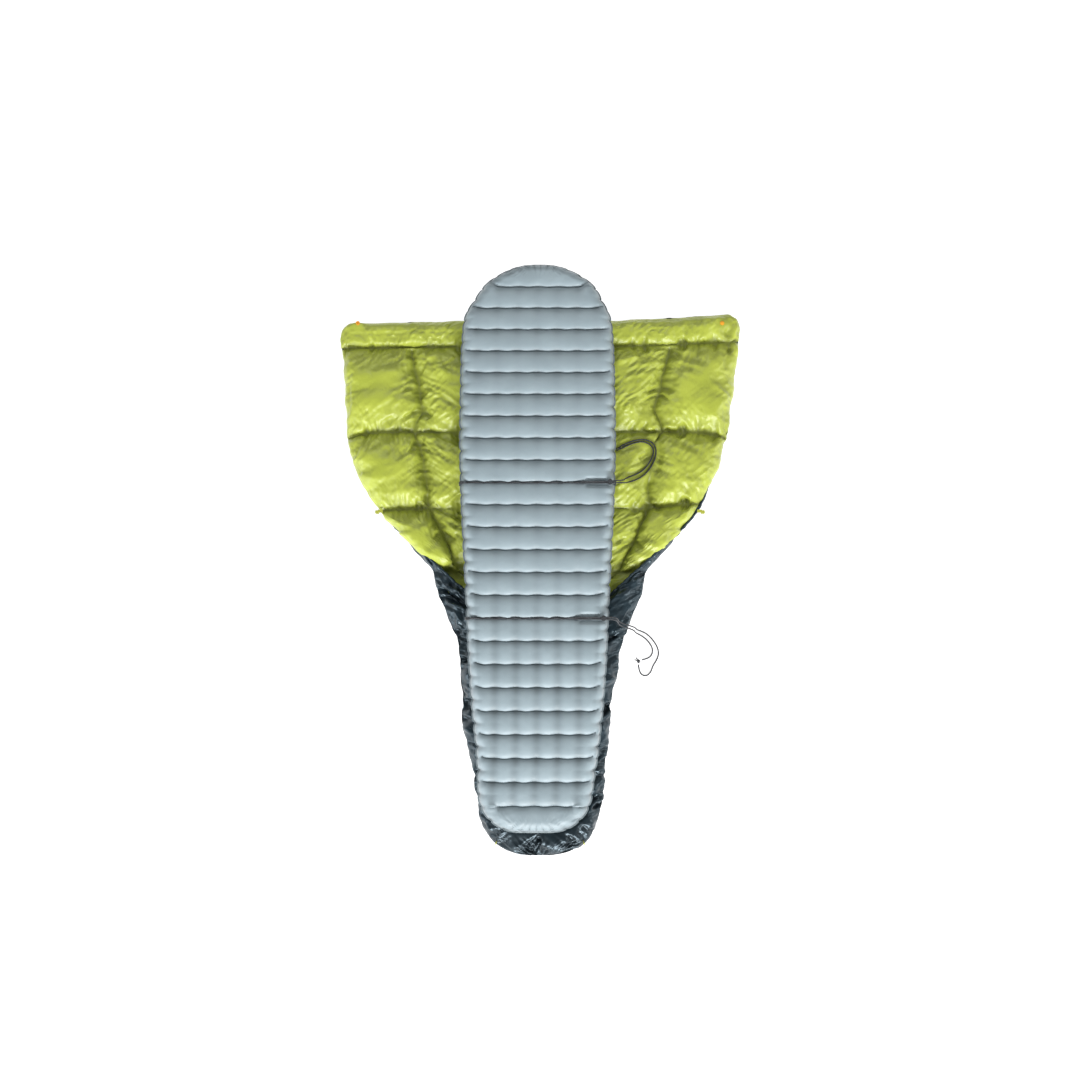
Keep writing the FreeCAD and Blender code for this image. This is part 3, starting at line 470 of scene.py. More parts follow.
def warp_open(points):
    """The way the quilt lies: a little off to the left, with uneven edges and its right collar end pulled up."""
    points = np.asarray(points, float).copy()
    x, y = points[..., 0], points[..., 1]
    points[..., 0] = x - 0.010 * np.exp(-((y - 0.33) / 0.17) ** 2) * np.clip(np.abs(x) / 0.4, 0, 1)
    head = smooth_step((y - 0.60) / 0.17)
    tilt = np.interp(x, [-0.66, -0.60, -0.25, 0.25, 0.42, 0.60, 0.66],
                     [-0.017, -0.013, -0.006, -0.004, 0.002, 0.015, 0.020])
    points[..., 1] = y + head * tilt + head * 0.0016 * ripples(x, 0 * x, 0.09, 9, 8)
    side = np.sign(x)
    wobble = np.where(side > 0, ripples(y, 0 * y, 0.085, 19, 9), ripples(y, 0 * y, 0.085, 20, 9))
    fine = np.where(side > 0, ripples(y, 0 * y, 0.030, 21, 9), ripples(y, 0 * y, 0.030, 22, 9))
    amount = (0.0024 * wobble + 0.0010 * fine) * np.clip(np.abs(x) / 0.2, 0, 1) ** 2
    for seam in (-0.270, -0.490, -0.705):
        amount = amount - 0.0055 * np.exp(-np.abs(y - seam) / 0.010) * np.clip(np.abs(x) / 0.2, 0, 1) ** 4
    points[..., 0] += side * amount * (1 - smooth_step((y - 0.72) / 0.05))
    points[..., 0] -= 0.013 * np.exp(-((y + 0.53) / 0.12) ** 2) + 0.004 * np.exp(-((y + 0.855) / 0.03) ** 2)
    return points


def liner_half(word, side):
    """The lime inner cloth of a wing and half of the centre panel, full of down between its seams."""
    place, seam_rows, long_column = liner_grid(side)
    rows, columns = place.shape[:2]
    x, y = np.abs(place[:, :, 0]), place[:, :, 1]
    pinned = np.zeros((rows, columns), bool)
    seed = 200 + 50 * side

    long_line = x[:, long_column][:, None]
    edge_line = x[:, -1][:, None]
    centre = x < long_line
    collarless = y < SEAM_TOP_Y
    to_long = np.abs(x - long_line) * np.where(y > SEAM_TOP_Y, 0, 1) + np.where(y > SEAM_TOP_Y, 1, 0)
    to_edge = np.minimum(np.clip(edge_line - x, 0, 1), np.where(y > 0.5, HEAD_Y - y, 1))
    seams = [0] + seam_rows
    to_cross = np.full((rows, columns), 9.0)
    for row in seams:
        to_cross = np.minimum(to_cross, np.abs(y - y[row:row + 1, :]))
    collar = np.arange(rows)[:, None] >= seam_rows[-1]
    lower = np.arange(rows)[:, None] <= seam_rows[1]
    pinned[seams + [rows - 1], :] = True
    pinned[collarless[:, long_column], long_column] = True
    pinned[:, 0] = pinned[:, -1] = True

    base = np.full((rows, columns), 0.017)
    crest = np.where(centre, 0.026, 0.038)
    crest = np.where(collar, 0.026, crest)
    crest = np.where(lower & ~centre, 0.044, np.where(lower & centre, 0.018, crest))
    crest = np.where(np.arange(rows)[:, None] <= seam_rows[0], 0.012, crest)
    across = np.where(collar, 0.040, np.where(centre, 0.055, 0.062))
    swell = pillow(to_cross, across) * pillow(to_long, np.where(centre, 0.060, 0.055))
    swell = swell * (1 + 0.14 * ripples(x, y, 0.20, seed, 8))
    rim = np.where(y > 0.10, 0.012, np.where(y > 0.06, 0.012 + 0.022 * (0.10 - y) / 0.04, 0.034))
    round_off = pillow(to_edge + 0.001, 0.040)
    dome = base + crest * swell
    dome = dome + gathers(x, to_cross, seed + 1) * np.where(collar, 1.3, 1.0)
    dome = dome + gathers(y, to_long, seed + 5) * collarless
    dome = dome + gathers(y, to_edge, seed + 9, 0.024, 0.028, 0.0026)
    slant = ripples(x, y, 0.042, seed + 13, 9, direction=side * 2.3, spread=0.30)
    long_crease = (0.3 - np.abs(slant)) * np.clip(0.4 + ripples(x, y, 0.16, seed + 14, 7), 0, 1)
    dome = dome + 0.0042 * long_crease * np.where(centre, 1.0, 0.35) * swell
    dome = dome + 0.0007 * ripples(x, y, 0.020, seed + 15, 16)
    wave = 0.0014 * ripples(x, y, 0.05, seed + 16)
    cross_dip = np.exp(-(to_cross / 0.004) ** 2)
    level = rim + (dome + wave - rim) * round_off
    level = np.where(to_edge > 0.05, dome + wave * cross_dip, level)
    joined = smooth_step(x / 0.040)
    shared = base + crest * pillow(to_cross, across)
    shared = rim + (shared - rim) * round_off
    level = shared[:, :1] + (level - shared[:, :1]) * joined
    level[:, -1] = rim[:, -1] - 0.0005
    level[0, :] = 0.018
    level[-1, :] = 0.012
    start = np.dstack([place, level])
    start[:, :, 0] += side * 0.006 * round_off * (1 - pillow(to_edge, 0.07)) * swell * joined
    stretch = np.array([1.040, 1.035, 1.02])
    stretch = stretch * np.where(collar, 1.03, 1.0)[:, :, None]
    anchor = np.array([0, 0.40, 0.0])
    cut = (start - anchor) * stretch + anchor
    faces = turned(grid_faces(rows, columns), side)
    flat = start.reshape(-1, 3)
    soft = relaxed(flat, faces, cut.reshape(-1, 3), pinned.ravel(), 45.0, 14, 0.020)
    fade = pillow(to_edge + 0.001, 0.030) * joined
    lean = np.where(centre, -0.9, 0.55) * np.clip(ripples(x, 0 * x, 0.30, seed + 20, 5), -1, 1)
    crease = gathers(x, to_cross, seed + 21, 0.026, 0.055, 0.0110, lean) * np.where(collar, 0.8, 1.0)
    crease = crease + gathers(y, to_long, seed + 25, 0.027, 0.055, 0.0110, 0.6) * collarless
    crease = crease + gathers(y, to_edge, seed + 29, 0.032, 0.035, 0.0050, -0.5)
    drawn = ripples(x, y, 0.036, seed + 33, 9, direction=side * 2.35, spread=0.28)
    drawn = np.clip(0.55 - np.abs(drawn), 0, 1) ** 1.2 * np.clip(0.15 + ripples(x, y, 0.15, seed + 34, 7), 0, 1)
    cross_drawn = ripples(x, y, 0.030, seed + 35, 9, direction=-side * 0.9, spread=0.30)
    cross_drawn = np.clip(0.5 - np.abs(cross_drawn), 0, 1) ** 1.2 * np.clip(ripples(x, y, 0.14, seed + 36, 7), 0, 1)
    crease = crease + 0.021 * (drawn + 0.8 * cross_drawn) * np.where(centre, 1.0, 0.25) * swell
    crease = crease + 0.0028 * ripples(x, y, 0.10, seed + 37, 10) * swell
    soft = warp_open(along_normals(soft, faces, crease * fade))
    pressed = under_pad(soft[:, 0], soft[:, 1])
    cap = 0.070 - 0.015 * pressed
    soft[:, 2] = soft_cap(np.maximum(soft[:, 2], 0.010), cap)
    if side > 0:
        soft = laid_under_cords(soft)
    snap = 1 - smooth_step((np.hypot(np.abs(soft[:, 0]) - SNAP_X, soft[:, 1] - SNAP_Y) - 0.009) / 0.022)
    soft[:, 2] += (SNAP_Z - soft[:, 2]) * snap * smooth_step(to_edge.ravel() / 0.010)
    # Painted shade: darker colour along the seams and in the creases.
    deep = 0.80 * np.exp(-to_cross / 0.006) + 0.85 * np.exp(-to_long / 0.007) * collarless
    deep = deep + 0.30 * np.clip(-crease / 0.006, 0, 1) + 0.16 * np.exp(-to_long / 0.030) * collarless
    obj = cloth_piece(f"liner_{word}", soft, faces, MATERIALS["liner"])
    set_painted_shade(obj, deep)
    return obj


# ---------------------------------------------------------------- stage, camera and light

CAMERA_DISTANCE, CAMERA_TILT, LENS = 3.6, math.radians(7.6536), 36.6
AIM = (0.0, 0.048, 0.0)


def stage_and_camera():
    material, _, shader = nodes_of("floor_white")
    shader.inputs["Base Color"].default_value = (0.55, 0.55, 0.55, 1)
    shader.inputs["Roughness"].default_value = 0.9
    shader.inputs["Specular IOR Level"].default_value = 0.1
    shader.inputs["Emission Color"].default_value = (1, 1, 1, 1)
    shader.inputs["Emission Strength"].default_value = 0.85
    floor = mesh_object("floor", [(-9, -9, -0.0006), (9, -9, -0.0006), (9, 9, -0.0006), (-9, 9, -0.0006)],
                        [(0, 1, 2, 3)], material, smooth=False)

    camera = bpy.data.objects.new("camera", bpy.data.cameras.new("camera"))
    bpy.context.scene.collection.objects.link(camera)
    camera.data.lens, camera.data.sensor_width = LENS, 36
    camera.location = (AIM[0], AIM[1] - CAMERA_DISTANCE * math.sin(CAMERA_TILT),
                       CAMERA_DISTANCE * math.cos(CAMERA_TILT))
    camera.rotation_euler = (CAMERA_TILT, 0, 0)
    camera.data.clip_end = 50
    bpy.context.scene.camera = camera

    def lamp(name, place, aim, size, power, colour=(1, 1, 1)):
        light = bpy.data.lights.new(name, "AREA")
        light.shape, light.size, light.size_y = "RECTANGLE", size[0], size[1]
        light.energy, light.color = power, colour
        obj = bpy.data.objects.new(name, light)
        bpy.context.scene.collection.objects.link(obj)
        obj.location = place
        toward = np.array(aim, float) - np.array(place, float)
        yaw = math.atan2(toward[1], toward[0])
        pitch = math.atan2(math.hypot(toward[0], toward[1]), -toward[2])
        obj.rotation_euler = (pitch, 0, yaw - math.pi / 2)

    lamp("key", (0.5, -5.6, 2.9), (0, 0, 0), (4.2, 1.7), 640)
    lamp("head", (-0.3, 2.6, 2.6), (0, 0.2, 0), (1.6, 0.7), 16)
    lamp("left", (-3.2, -1.5, 1.2), (0, -0.3, 0), (1.6, 2.4), 62, (0.96, 0.98, 1))
    lamp("right", (3.0, 0.0, 1.6), (0, 0, 0), (1.0, 2.0), 34, (1, 0.99, 0.97))
    world = bpy.context.scene.world or bpy.data.worlds.new("world")
    bpy.context.scene.world = world
    world.use_nodes = True
    tree = world.node_tree
    back = tree.nodes["Background"]
    spot = add(tree, "ShaderNodeTexCoord").outputs["Generated"]
    split = add(tree, "ShaderNodeSeparateXYZ")
    tree.links.new(spot, split.inputs[0])
    sky = ramp(tree, split.outputs["Z"], [(0.5, (1, 1, 1)), (0.72, (0.86, 0.88, 0.90)), (0.97, (0.16, 0.165, 0.175))])
    tree.links.new(sky, back.inputs["Color"])
    back.inputs["Strength"].default_value = 0.50
    bpy.context.scene.view_settings.view_transform = "Standard"
    bpy.context.scene.view_settings.exposure = 0.0


# ---------------------------------------------------------------- the cords

def route_curve(name, points, diameter, material, cyclic=False):
    """A round cord along a route, which is the control points of a smooth line."""
    data = bpy.data.curves.new(name, "CURVE")
    data.dimensions = "3D"
    spline = data.splines.new("NURBS")
    spline.points.add(len(points) - 1)
    for point, place in zip(spline.points, points):
        point.co = (*place, 1)
    spline.order_u = 3
    spline.use_endpoint_u = not cyclic
    spline.use_cyclic_u = cyclic
    spline.resolution_u = 10
    data.bevel_depth = diameter / 2
    data.bevel_resolution = 4
    data.materials.append(material)
    obj = bpy.data.objects.new(name, data)
    bpy.context.scene.collection.objects.link(obj)
    return obj


def read_line(points):
    """Points along the smooth NURBS line of a route."""
    curve = route_curve("route_reader", points, 0, MATERIALS["cord"])
    mesh = bpy.data.meshes.new_from_object(curve.evaluated_get(bpy.context.evaluated_depsgraph_get()))
    line = np.array([v.co for v in mesh.vertices])
    bpy.data.objects.remove(curve, do_unlink=True)
    return line


def knot_piece(name, middle, toward):
    """An overhand knot with two short melted ends, as tubes wound round each other."""
    mid, ahead = np.array(middle), np.array(toward) / np.linalg.norm(toward)
    side = np.cross(UP, ahead)
    turns = np.linspace(0, 2 * math.pi, 26)
    loop = [mid + ahead * 0.0042 * math.sin(2 * a) + side * 0.0036 * math.cos(a) * (1 + 0.2 * math.cos(3 * a))
            + UP * 0.0026 * math.sin(a) for a in turns[:-1]]
    parts = [route_curve(f"{name}_loop", loop, 0.0036, MATERIALS["cord"], cyclic=True)]
    for turn in (-1, 1):
        start = mid + side * turn * 0.0016 + ahead * 0.003
        end = mid + ahead * 0.0135 + side * turn * 0.0036 - UP * 0.0012
        parts.append(route_curve(f"{name}_end{turn}", [start, (start + end) / 2 + UP * 0.001, end], 0.0034,
                                 MATERIALS["cord"]))
    return join_as_mesh(name, parts)


def join_as_mesh(name, parts):
    """Curves and meshes made into one mesh object."""
    graph = bpy.context.evaluated_depsgraph_get()
    points, faces, materials, index = [], [], [], []
    for part in parts:
        mesh = bpy.data.meshes.new_from_object(part.evaluated_get(graph))
        base = len(points)
        points += [tuple(part.matrix_world @ v.co) for v in mesh.vertices]
        faces += [tuple(base + i for i in p.vertices) for p in mesh.polygons]
        for material in mesh.materials:
            if material not in materials:
                materials.append(material)
        index += [materials.index(mesh.materials[p.material_index]) if mesh.materials else 0
                  for p in mesh.polygons]
        bpy.data.objects.remove(part, do_unlink=True)
    obj = mesh_object(name, points, faces)
    for material in materials:
        obj.data.materials.append(material)
    obj.data.polygons.foreach_set("material_index", index)
    return obj


def route_length(points):
    line = read_line(points)
    return float(np.linalg.norm(np.diff(line, axis=0), axis=1).sum())


def cord_tails():
    knots = {"upper": ((0.2615, 0.346, 0.0452), (-0.87, -0.45, 0)),
             "lower": ((0.318, -0.347, 0.0060), (-0.80, 0.60, 0))}
    for word, (middle, toward) in knots.items():
        knot = knot_piece(f"{word}_knot", middle, toward)
        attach(knot, "pad")
        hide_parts(f"{word}_tail_knot")
        for strand in "ab":
            points = [tuple(np.array(p) * MM) for p in TAILS[f"{word}_tail_{strand}"]]
            tail = route_curve(f"{word}_tail_{strand}_cord", points, CORD, MATERIALS["cord"])
            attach(tail, "pad")
            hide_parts(f"{word}_tail_{strand}")
            round(route_length(points), 3)


# ---------------------------------------------------------------- sleeping pad

SEAM_PITCH, SEAM_FIRST = 0.07206, 0.8643
PAD_MID, PAD_RISE, PAD_DROP = 0.0985, 0.0385, 0.0365
GROOVE_RISE, GROOVE_DROP = 0.0275, 0.0285
PAD_ROUND, FLANGE = 0.034, 0.005
DIMPLE_PITCH, DIMPLE_START = 0.065, -0.010
STRAP_SEAMS = {"upper": 9, "lower": 15}
LAST_WELD = 23


def weld_y(number):
    """Where a cross weld runs, from number 0 at the head to the last at the foot."""
    return SEAM_FIRST - number * SEAM_PITCH


SEAM_LAST = weld_y(LAST_WELD)


def tube_phase(y):
    """0 at a cross weld and 1 at the next, and the number of the tube."""
    raw = (SEAM_FIRST - y) / SEAM_PITCH
    number = np.floor(raw)
    phase = raw - number
    head, foot = raw < 0, raw > LAST_WELD
    phase = np.where(head, np.clip((y - SEAM_FIRST) / (PAD_HEAD_Y - SEAM_FIRST), 0, 1) * 0.5, phase)
    phase = np.where(foot, np.clip((SEAM_LAST - y) / (SEAM_LAST - PAD_FOOT_Y), 0, 1) * 0.5, phase)
    return phase, np.clip(number, -1, LAST_WELD)


def end_folds(x, y, power):
    """Folds that fan out round the pad's ends, and the places past the last weld: for one end, then the other."""
    for centre_y, past in ((SEAM_FIRST, y >= SEAM_FIRST), (SEAM_LAST, y <= SEAM_LAST)):
        yield (0.5 + 0.5 * np.cos(21 * np.arctan2(y - centre_y, x) + 0.15)) ** power, past


def tucks(x, y, power):
    """The wave of dimples across the pad, and how far each place is drawn in by one."""
    wave = np.cos(2 * math.pi * ((x - DIMPLE_START + PAD_X) / DIMPLE_PITCH))
    return wave, (0.5 + 0.5 * wave) ** power * np.clip((pad_half(y) - 0.028 - np.abs(x)) / 0.008, 0, 1)


def pad_edge(y):
    """Outline of the welded edge, pinched in at the middle of each tube and a little at each weld."""
    phase, number = tube_phase(y)
    off = np.abs(phase - 0.5) * SEAM_PITCH
    uneven = 0.75 + 0.5 * np.sin(number * 2.7 + 1.0) ** 2
    pinch = 0.0062 * uneven * np.exp(-off / 0.0075) + 0.0030 * np.exp(-(SEAM_PITCH / 2 - off) / 0.007)
    inside = (y < SEAM_FIRST) & (y > SEAM_LAST)
    ends = smooth_step(np.minimum(PAD_HEAD_Y - y, y - PAD_FOOT_Y) / 0.10)
    half = pad_half(y)
    rim = np.zeros(np.shape(y))
    for fold, past in end_folds(half, y, 10):
        rim = rim + fold * past
    return half - pinch * np.where(inside, 1, 0) * ends - 0.0060 * rim * (half > 0.05)


def pad_outline_points():
    ys = np.concatenate([PAD_HEAD_Y - PAD_HEAD_ROUND * (1 - np.cos(np.linspace(0, math.pi / 2, 60))),
                         np.arange(0.755, -0.75, -0.006),
                         PAD_FOOT_Y + PAD_FOOT_ROUND * (1 - np.cos(np.linspace(math.pi / 2, 0, 50)))])
    half = pad_edge(ys)
    return np.concatenate([np.stack([half, ys], 1), np.stack([-half, ys], 1),
                           np.stack([np.linspace(-half[0], half[0], 30), np.full(30, PAD_HEAD_Y)], 1),
                           np.stack([np.linspace(-half[-1], half[-1], 30), np.full(30, PAD_FOOT_Y)], 1)])


OUTLINE = pad_outline_points()


def weld_half(y):
    """How far each cross weld reaches either way from the pad's middle line, read at the nearest weld."""
    nearest = np.clip(np.round((SEAM_FIRST - y) / SEAM_PITCH), 0, LAST_WELD)
    at = weld_y(nearest)
    half = pad_half(at) - 0.020 - 0.003 * np.sin(nearest * 1.9)
    half = np.where(nearest == 0, 0.160, half)
    return np.where(nearest == LAST_WELD, 0.112, half), at


def weld_line(x, y):
    """Where the nearest cross weld runs: straight, with ends that turn up towards the head."""
    reach, at = weld_half(y)
    turn_up = np.clip((np.abs(x) - reach + 0.034) / 0.034, 0, 1.3) ** 2
    first = np.abs(at - SEAM_FIRST) < 0.01
    return reach, at + turn_up * np.where(first, 0.022, 0.007) * (at > weld_y(LAST_WELD - 0.5))


def pad_height(x, y, distance, top=True):
    """Height above or below the pad's middle plane; x is measured from the pad's middle line."""
    crest, groove = (PAD_RISE, GROOVE_RISE) if top else (PAD_DROP, GROOVE_DROP)
    phase, _ = tube_phase(y)
    reach, at = weld_line(x, y)
    past = np.clip(np.abs(x) - reach, 0, None)
    wave, tuck = tucks(x, y, 1.4)
    strapped = 0 * y
    for seam in STRAP_SEAMS.values():
        strapped = strapped + np.exp(-((y - weld_y(seam)) / 0.030) ** 4)
    groove = groove - 0.0055 * (1 - strapped) * np.clip(1 - past / 0.012, 0, 1)
    wobble = 0.0012 * wave * (1 if top else 0.5)
    off = np.hypot(np.abs(y - at - wobble), past * 0.9)
    t = np.clip(off / (SEAM_PITCH / 2), 0, 1)
    lift = np.sqrt(np.clip(1 - (1 - t) ** 2, 0, 1)) ** (0.68 + 0.50 * tuck)
    height = groove + (crest - groove) * lift
    foot = smooth_step((0.05 - y) / 0.45)
    height -= (0.0012 + 0.0030 * foot) * tuck * t
    height -= 0.0016 * np.exp(-(off / 0.0022) ** 2)
    near = np.exp(-off / 0.010)
    height += 0.0006 * ripples(x, y, 0.11, 61, 10) + 0.00035 * ripples(x, y, 0.022, 62, 12) * near
    rim = np.clip(distance - FLANGE, 0, 1)
    middle = np.abs(phase - 0.5) * SEAM_PITCH
    body = (y < SEAM_FIRST) & (y > SEAM_LAST)
    fold = np.exp(-(middle / 0.0035) ** 2) * np.exp(-rim / 0.013) * body
    fold += 0.5 * np.exp(-((middle - 0.012 - 0.25 * rim) / 0.0028) ** 2) * np.exp(-rim / 0.016) * body
    spread = np.exp(-((np.abs(y - at) - 0.7 * past - 0.001) / 0.0030) ** 2) * np.exp(-past / 0.014) * (past > 0)
    height -= 0.0036 * fold + 0.0022 * spread * body
    for ridge, ends in end_folds(x, y, 14):
        height -= 0.0100 * ridge * np.exp(-rim / 0.018) * ends
    for end in (-0.113, 0.111):
        turn = np.arctan2(y - SEAM_LAST, x - end)
        away = np.hypot(y - SEAM_LAST, x - end)
        fan = (0.5 + 0.5 * np.cos(15 * turn + 0.8)) ** 5 * np.clip(away / 0.006, 0, 1) * np.exp(-away / 0.022)
        height -= 0.0034 * fan * (turn < 0.5)
    for seam in STRAP_SEAMS.values():
        apart = np.abs(y - weld_y(seam))
        height -= 0.0016 * np.exp(-(apart / 0.010) ** 2)
        fine = ripples(x, 0 * x, 0.009, 90 + seam, 14)
        height -= 0.0013 * np.clip(fine, 0, 2) * np.exp(-apart / 0.010) * np.clip(apart / 0.004, 0, 1)
        if top:
            lock = float(pad_half(np.array([weld_y(seam)]))[0]) - 0.020
            along = smooth_step((x - lock + 0.090) / 0.018) * smooth_step((lock + 0.022 - x) / 0.010)
            room = 0.0298 + 2.2 * np.clip(apart - 0.0124, 0, 1)
            height = np.where(along > 0, np.minimum(height, room + (1 - along) * 0.02), height)
    inner = np.clip(rim / PAD_ROUND, 0, 1)
    shape = np.sqrt(np.clip(1 - (1 - inner) ** 2, 0, 1))
    return 0.0011 + np.maximum(height - 0.0011, 0.0002) * shape


def pad_painted_shade(x, y, distance):
    """Painted shade on the pad's face: along its welds, at the dimples beside them, in the edge folds, round its rim
    and over its foot end.
    """
    phase, _ = tube_phase(y)
    reach, at = weld_line(x, y)
    past = np.clip(np.abs(x) - reach, 0, None)
    wave, tuck = tucks(x, y, 2.0)
    off = np.hypot(y - at - 0.0012 * wave, past)
    below = np.clip(at - y, 0, 1)
    foot = smooth_step((0.05 - y) / 0.45)
    body = (y < SEAM_FIRST - 0.01) & (y > SEAM_LAST + 0.004)
    shade = 0.85 * np.exp(-(off / 0.0018) ** 2)
    shade += (0.42 + 0.18 * foot) * tuck * np.exp(-below / (0.011 + 0.006 * foot)) * (y < at) * body
    shade += 0.08 * np.exp(-below / 0.014) * (y < at) * (past <= 0) * body
    shade += 0.50 * tuck * np.exp(-np.clip(y - at, 0, 1) / 0.011) * (y >= at) * body
    shade += (0.08 + 0.30 * foot) * tuck * body
    for ridge, ends in end_folds(x, y, 14):
        shade += 0.7 * ridge * np.exp(-np.clip(distance - FLANGE, 0, 1) / 0.012) * ends
    middle = np.abs(phase - 0.5) * SEAM_PITCH
    fold = np.exp(-(middle / 0.0035) ** 2) * np.exp(-np.clip(distance - FLANGE, 0, 1) / 0.012) * body
    # Painted shade over the pad's foot end, deepest at its rim.
    toe = smooth_step((-0.74 - y) / 0.06)
    shade += toe * (0.30 * np.exp(-distance / 0.030) + 0.14)
    # Painted shade round the whole rim, and in the fold at the middle of each tube's edge.
    return shade + 1.1 * np.exp(-(distance / 0.009) ** 2) + 0.35 * fold


def pad_grid():
    """Places of one face of the pad, close together at its edge and its welds."""
    steps = np.array([0, 2.5, 5.0, 5.6, 6.8, 8.6, 11, 14, 17.5, 21.5, 26, 31, 36.5, 43]) * MM
    phases = np.array([0, 0.02, 0.05, 0.10, 0.17, 0.25, 0.33, 0.41, 0.465, 0.5, 0.535, 0.60, 0.68, 0.76, 0.84,
                       0.91, 0.955, 0.98])
    tubes = weld_y((np.arange(LAST_WELD)[:, None] + phases[None, :]).ravel())
    head = PAD_HEAD_Y - steps
    head = np.concatenate([head, np.linspace(head[-1], SEAM_FIRST, 9)[1:-1], SEAM_FIRST + np.array([3, 1.2]) * MM])
    foot = PAD_FOOT_Y + steps
    foot = np.concatenate([[SEAM_LAST], SEAM_LAST - np.array([1.2, 3]) * MM,
                           np.linspace(SEAM_LAST - 0.006, foot[-1], 6)[:-1], foot[::-1]])
    y_rows = np.concatenate([np.sort(head)[::-1], tubes, np.sort(foot)[::-1]])
    half = pad_edge(y_rows)
    middle = np.linspace(-1, 1, 81)[1:-1]
    rows = []
    for wide in half:
        outer = np.minimum(steps, wide * 0.5)
        core = middle * (wide - outer[-1])
        rows.append(np.concatenate([-wide + outer, core, (wide - outer)[::-1]]))
    x = np.array(rows)
    return x, rows_across(y_rows, x.shape[1])


def sleeping_pad():
    x, y = pad_grid()
    rows, columns = x.shape
    distance = distance_to(OUTLINE, x, y)
    distance[:, 0] = distance[:, -1] = distance[0, :] = distance[-1, :] = 0
    top = np.dstack([x + PAD_X + pad_lean(y), y, PAD_MID + pad_height(x, y, distance)])
    low = np.dstack([x + PAD_X + pad_lean(y), y, PAD_MID - pad_height(x, y, distance, top=False)])
    points = np.concatenate([top.reshape(-1, 3), low.reshape(-1, 3)])
    count = rows * columns
    faces = [tuple(reversed(f)) for f in grid_faces(rows, columns)]
    faces = faces + [tuple(count + i for i in reversed(f)) for f in faces]
    border = ([(0, c) for c in range(columns)] + [(r, columns - 1) for r in range(1, rows)]
              + [(rows - 1, c) for c in range(columns - 2, -1, -1)] + [(r, 0) for r in range(rows - 2, 0, -1)])
    ring = [r * columns + c for r, c in border]
    for n, here in enumerate(ring):
        after = ring[(n + 1) % len(ring)]
        faces.append((here, after, count + after, count + here))
    obj = mesh_object("pad_skin", points, faces, MATERIALS["pad"])
    set_painted_shade(obj, np.tile(pad_painted_shade(x, y, distance).ravel(), 2))
    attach(obj, "pad")
    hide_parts("pad_face_film", "pad_base_film", "pad_edge_weld")

    webs = []
    for n in range(LAST_WELD + 1):
        yy = weld_y(n)
        half = min(float(pad_edge(np.array([yy]))[0]) - 0.040, 0.150 if n == 0 else 0.105 if n == LAST_WELD else 1)
        xs = np.linspace(-half, half, 40)
        wave = 0.0006 * np.sin(xs * 90 + n)
        upper = [(a + PAD_X, yy + b, PAD_MID + 0.012) for a, b in zip(xs, wave)]
        lower = [(a + PAD_X, yy - b, PAD_MID - 0.013) for a, b in zip(xs, wave)]
        webs.append(mesh_object(f"web{n}", lower + upper, grid_faces(2, 40), MATERIALS["film"]))
    web = join_as_mesh("pad_webs", webs)
    solid = web.modifiers.new("Film", "SOLIDIFY")
    solid.thickness = 0.0004
    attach(web, "pad")
    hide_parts("pad_baffle_webs")


def strap_bands():
    """Each strap is two cords that lie in a groove, twisted round each other, and go on under the pad."""
    for word, seam in STRAP_SEAMS.items():
        y0 = weld_y(seam)
        half = float(pad_edge(np.array([y0]))[0])
        turn_x = half - 0.020
        cords = []
        for turn in (1, -1):
            loop = []
            xs = np.linspace(-turn_x, turn_x, 66)
            line = xs[None, :], np.full((1, 66), y0)
            bed = PAD_MID + pad_height(*line, distance_to(OUTLINE, *line))[0]
            bed = np.convolve(np.pad(bed, 4, mode="edge"), np.ones(9) / 9, mode="valid")
            for x, z in zip(xs, bed):
                twist = 2 * math.pi * x / 0.085 + (0 if turn > 0 else math.pi)
                near_lock = smooth_step((x - turn_x + 0.110) / 0.032)
                up = 0.0021 * math.sin(twist) * (1 - near_lock)
                across = 0.0021 * math.cos(twist) * (1 - near_lock) + 0.0024 * turn * near_lock
                top = z + 0.0026 + up
                loop.append((x + PAD_X, y0 + across, top + (0.1334 - top) * near_lock))
            right = [(half - 0.006, 0.1330), (half + 0.0015, 0.126), (half + 0.0035, 0.112),
                     (half + 0.0037, 0.098), (half + 0.0028, 0.084), (half - 0.003, 0.071)]
            under = [(x, 0.0652) for x in np.linspace(half - 0.02, -half + 0.02, 24)]
            left = [(-half + 0.003, 0.071), (-half - 0.0028, 0.084), (-half - 0.0037, 0.098),
                    (-half - 0.0030, 0.112), (-half + 0.001, 0.1225), (-half + 0.009, 0.1275)]
            loop += [(x + PAD_X, y0 + 0.0024 * turn, z) for x, z in right + under + left]
            cords.append(route_curve(f"{word}_band_cord{turn}", loop, CORD, MATERIALS["cord"], cyclic=True))
        band = join_as_mesh(f"{word}_band", cords)
        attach(band, "pad")
        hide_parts(f"{word}_strap_band")


# ---------------------------------------------------------------- dark shell, footbox and edges

def quilt_outline():
    ys = np.concatenate([np.linspace(HEAD_Y, TIP_Y, 160), np.linspace(0.068, -0.841, 190)])
    toe = np.linspace(-0.845, TOE_Y, 60)
    half = np.concatenate([edge_half(ys), foot_half(toe)])
    ys = np.concatenate([ys, toe])
    flat = np.linspace(-1, 1, 60)
    return np.concatenate([np.stack([half, ys], 1), np.stack([-half, ys], 1),
                           np.stack([flat * 0.628, 0 * flat + HEAD_Y], 1),
                           np.stack([flat * 0.03, 0 * flat + TOE_Y], 1)])


TOE = [(TOE_Y, 0.030), (-0.945, 0.070), (-0.936, 0.101), (-0.925, 0.124), (-0.905, 0.150), (-0.875, 0.170),
       (-0.841, 0.184), (-0.782, 0.197), (-0.711, 0.207)]


def foot_half(y):
    """Half width of the footbox, with its rounded toe."""
    joint = -0.760
    return np.where(y < joint, curve_through(TOE, np.minimum(y, joint)), edge_half(np.maximum(y, joint)))


FOOT_SEAMS = [FOOT_TOP_Y, -0.270, -0.490, -0.705]


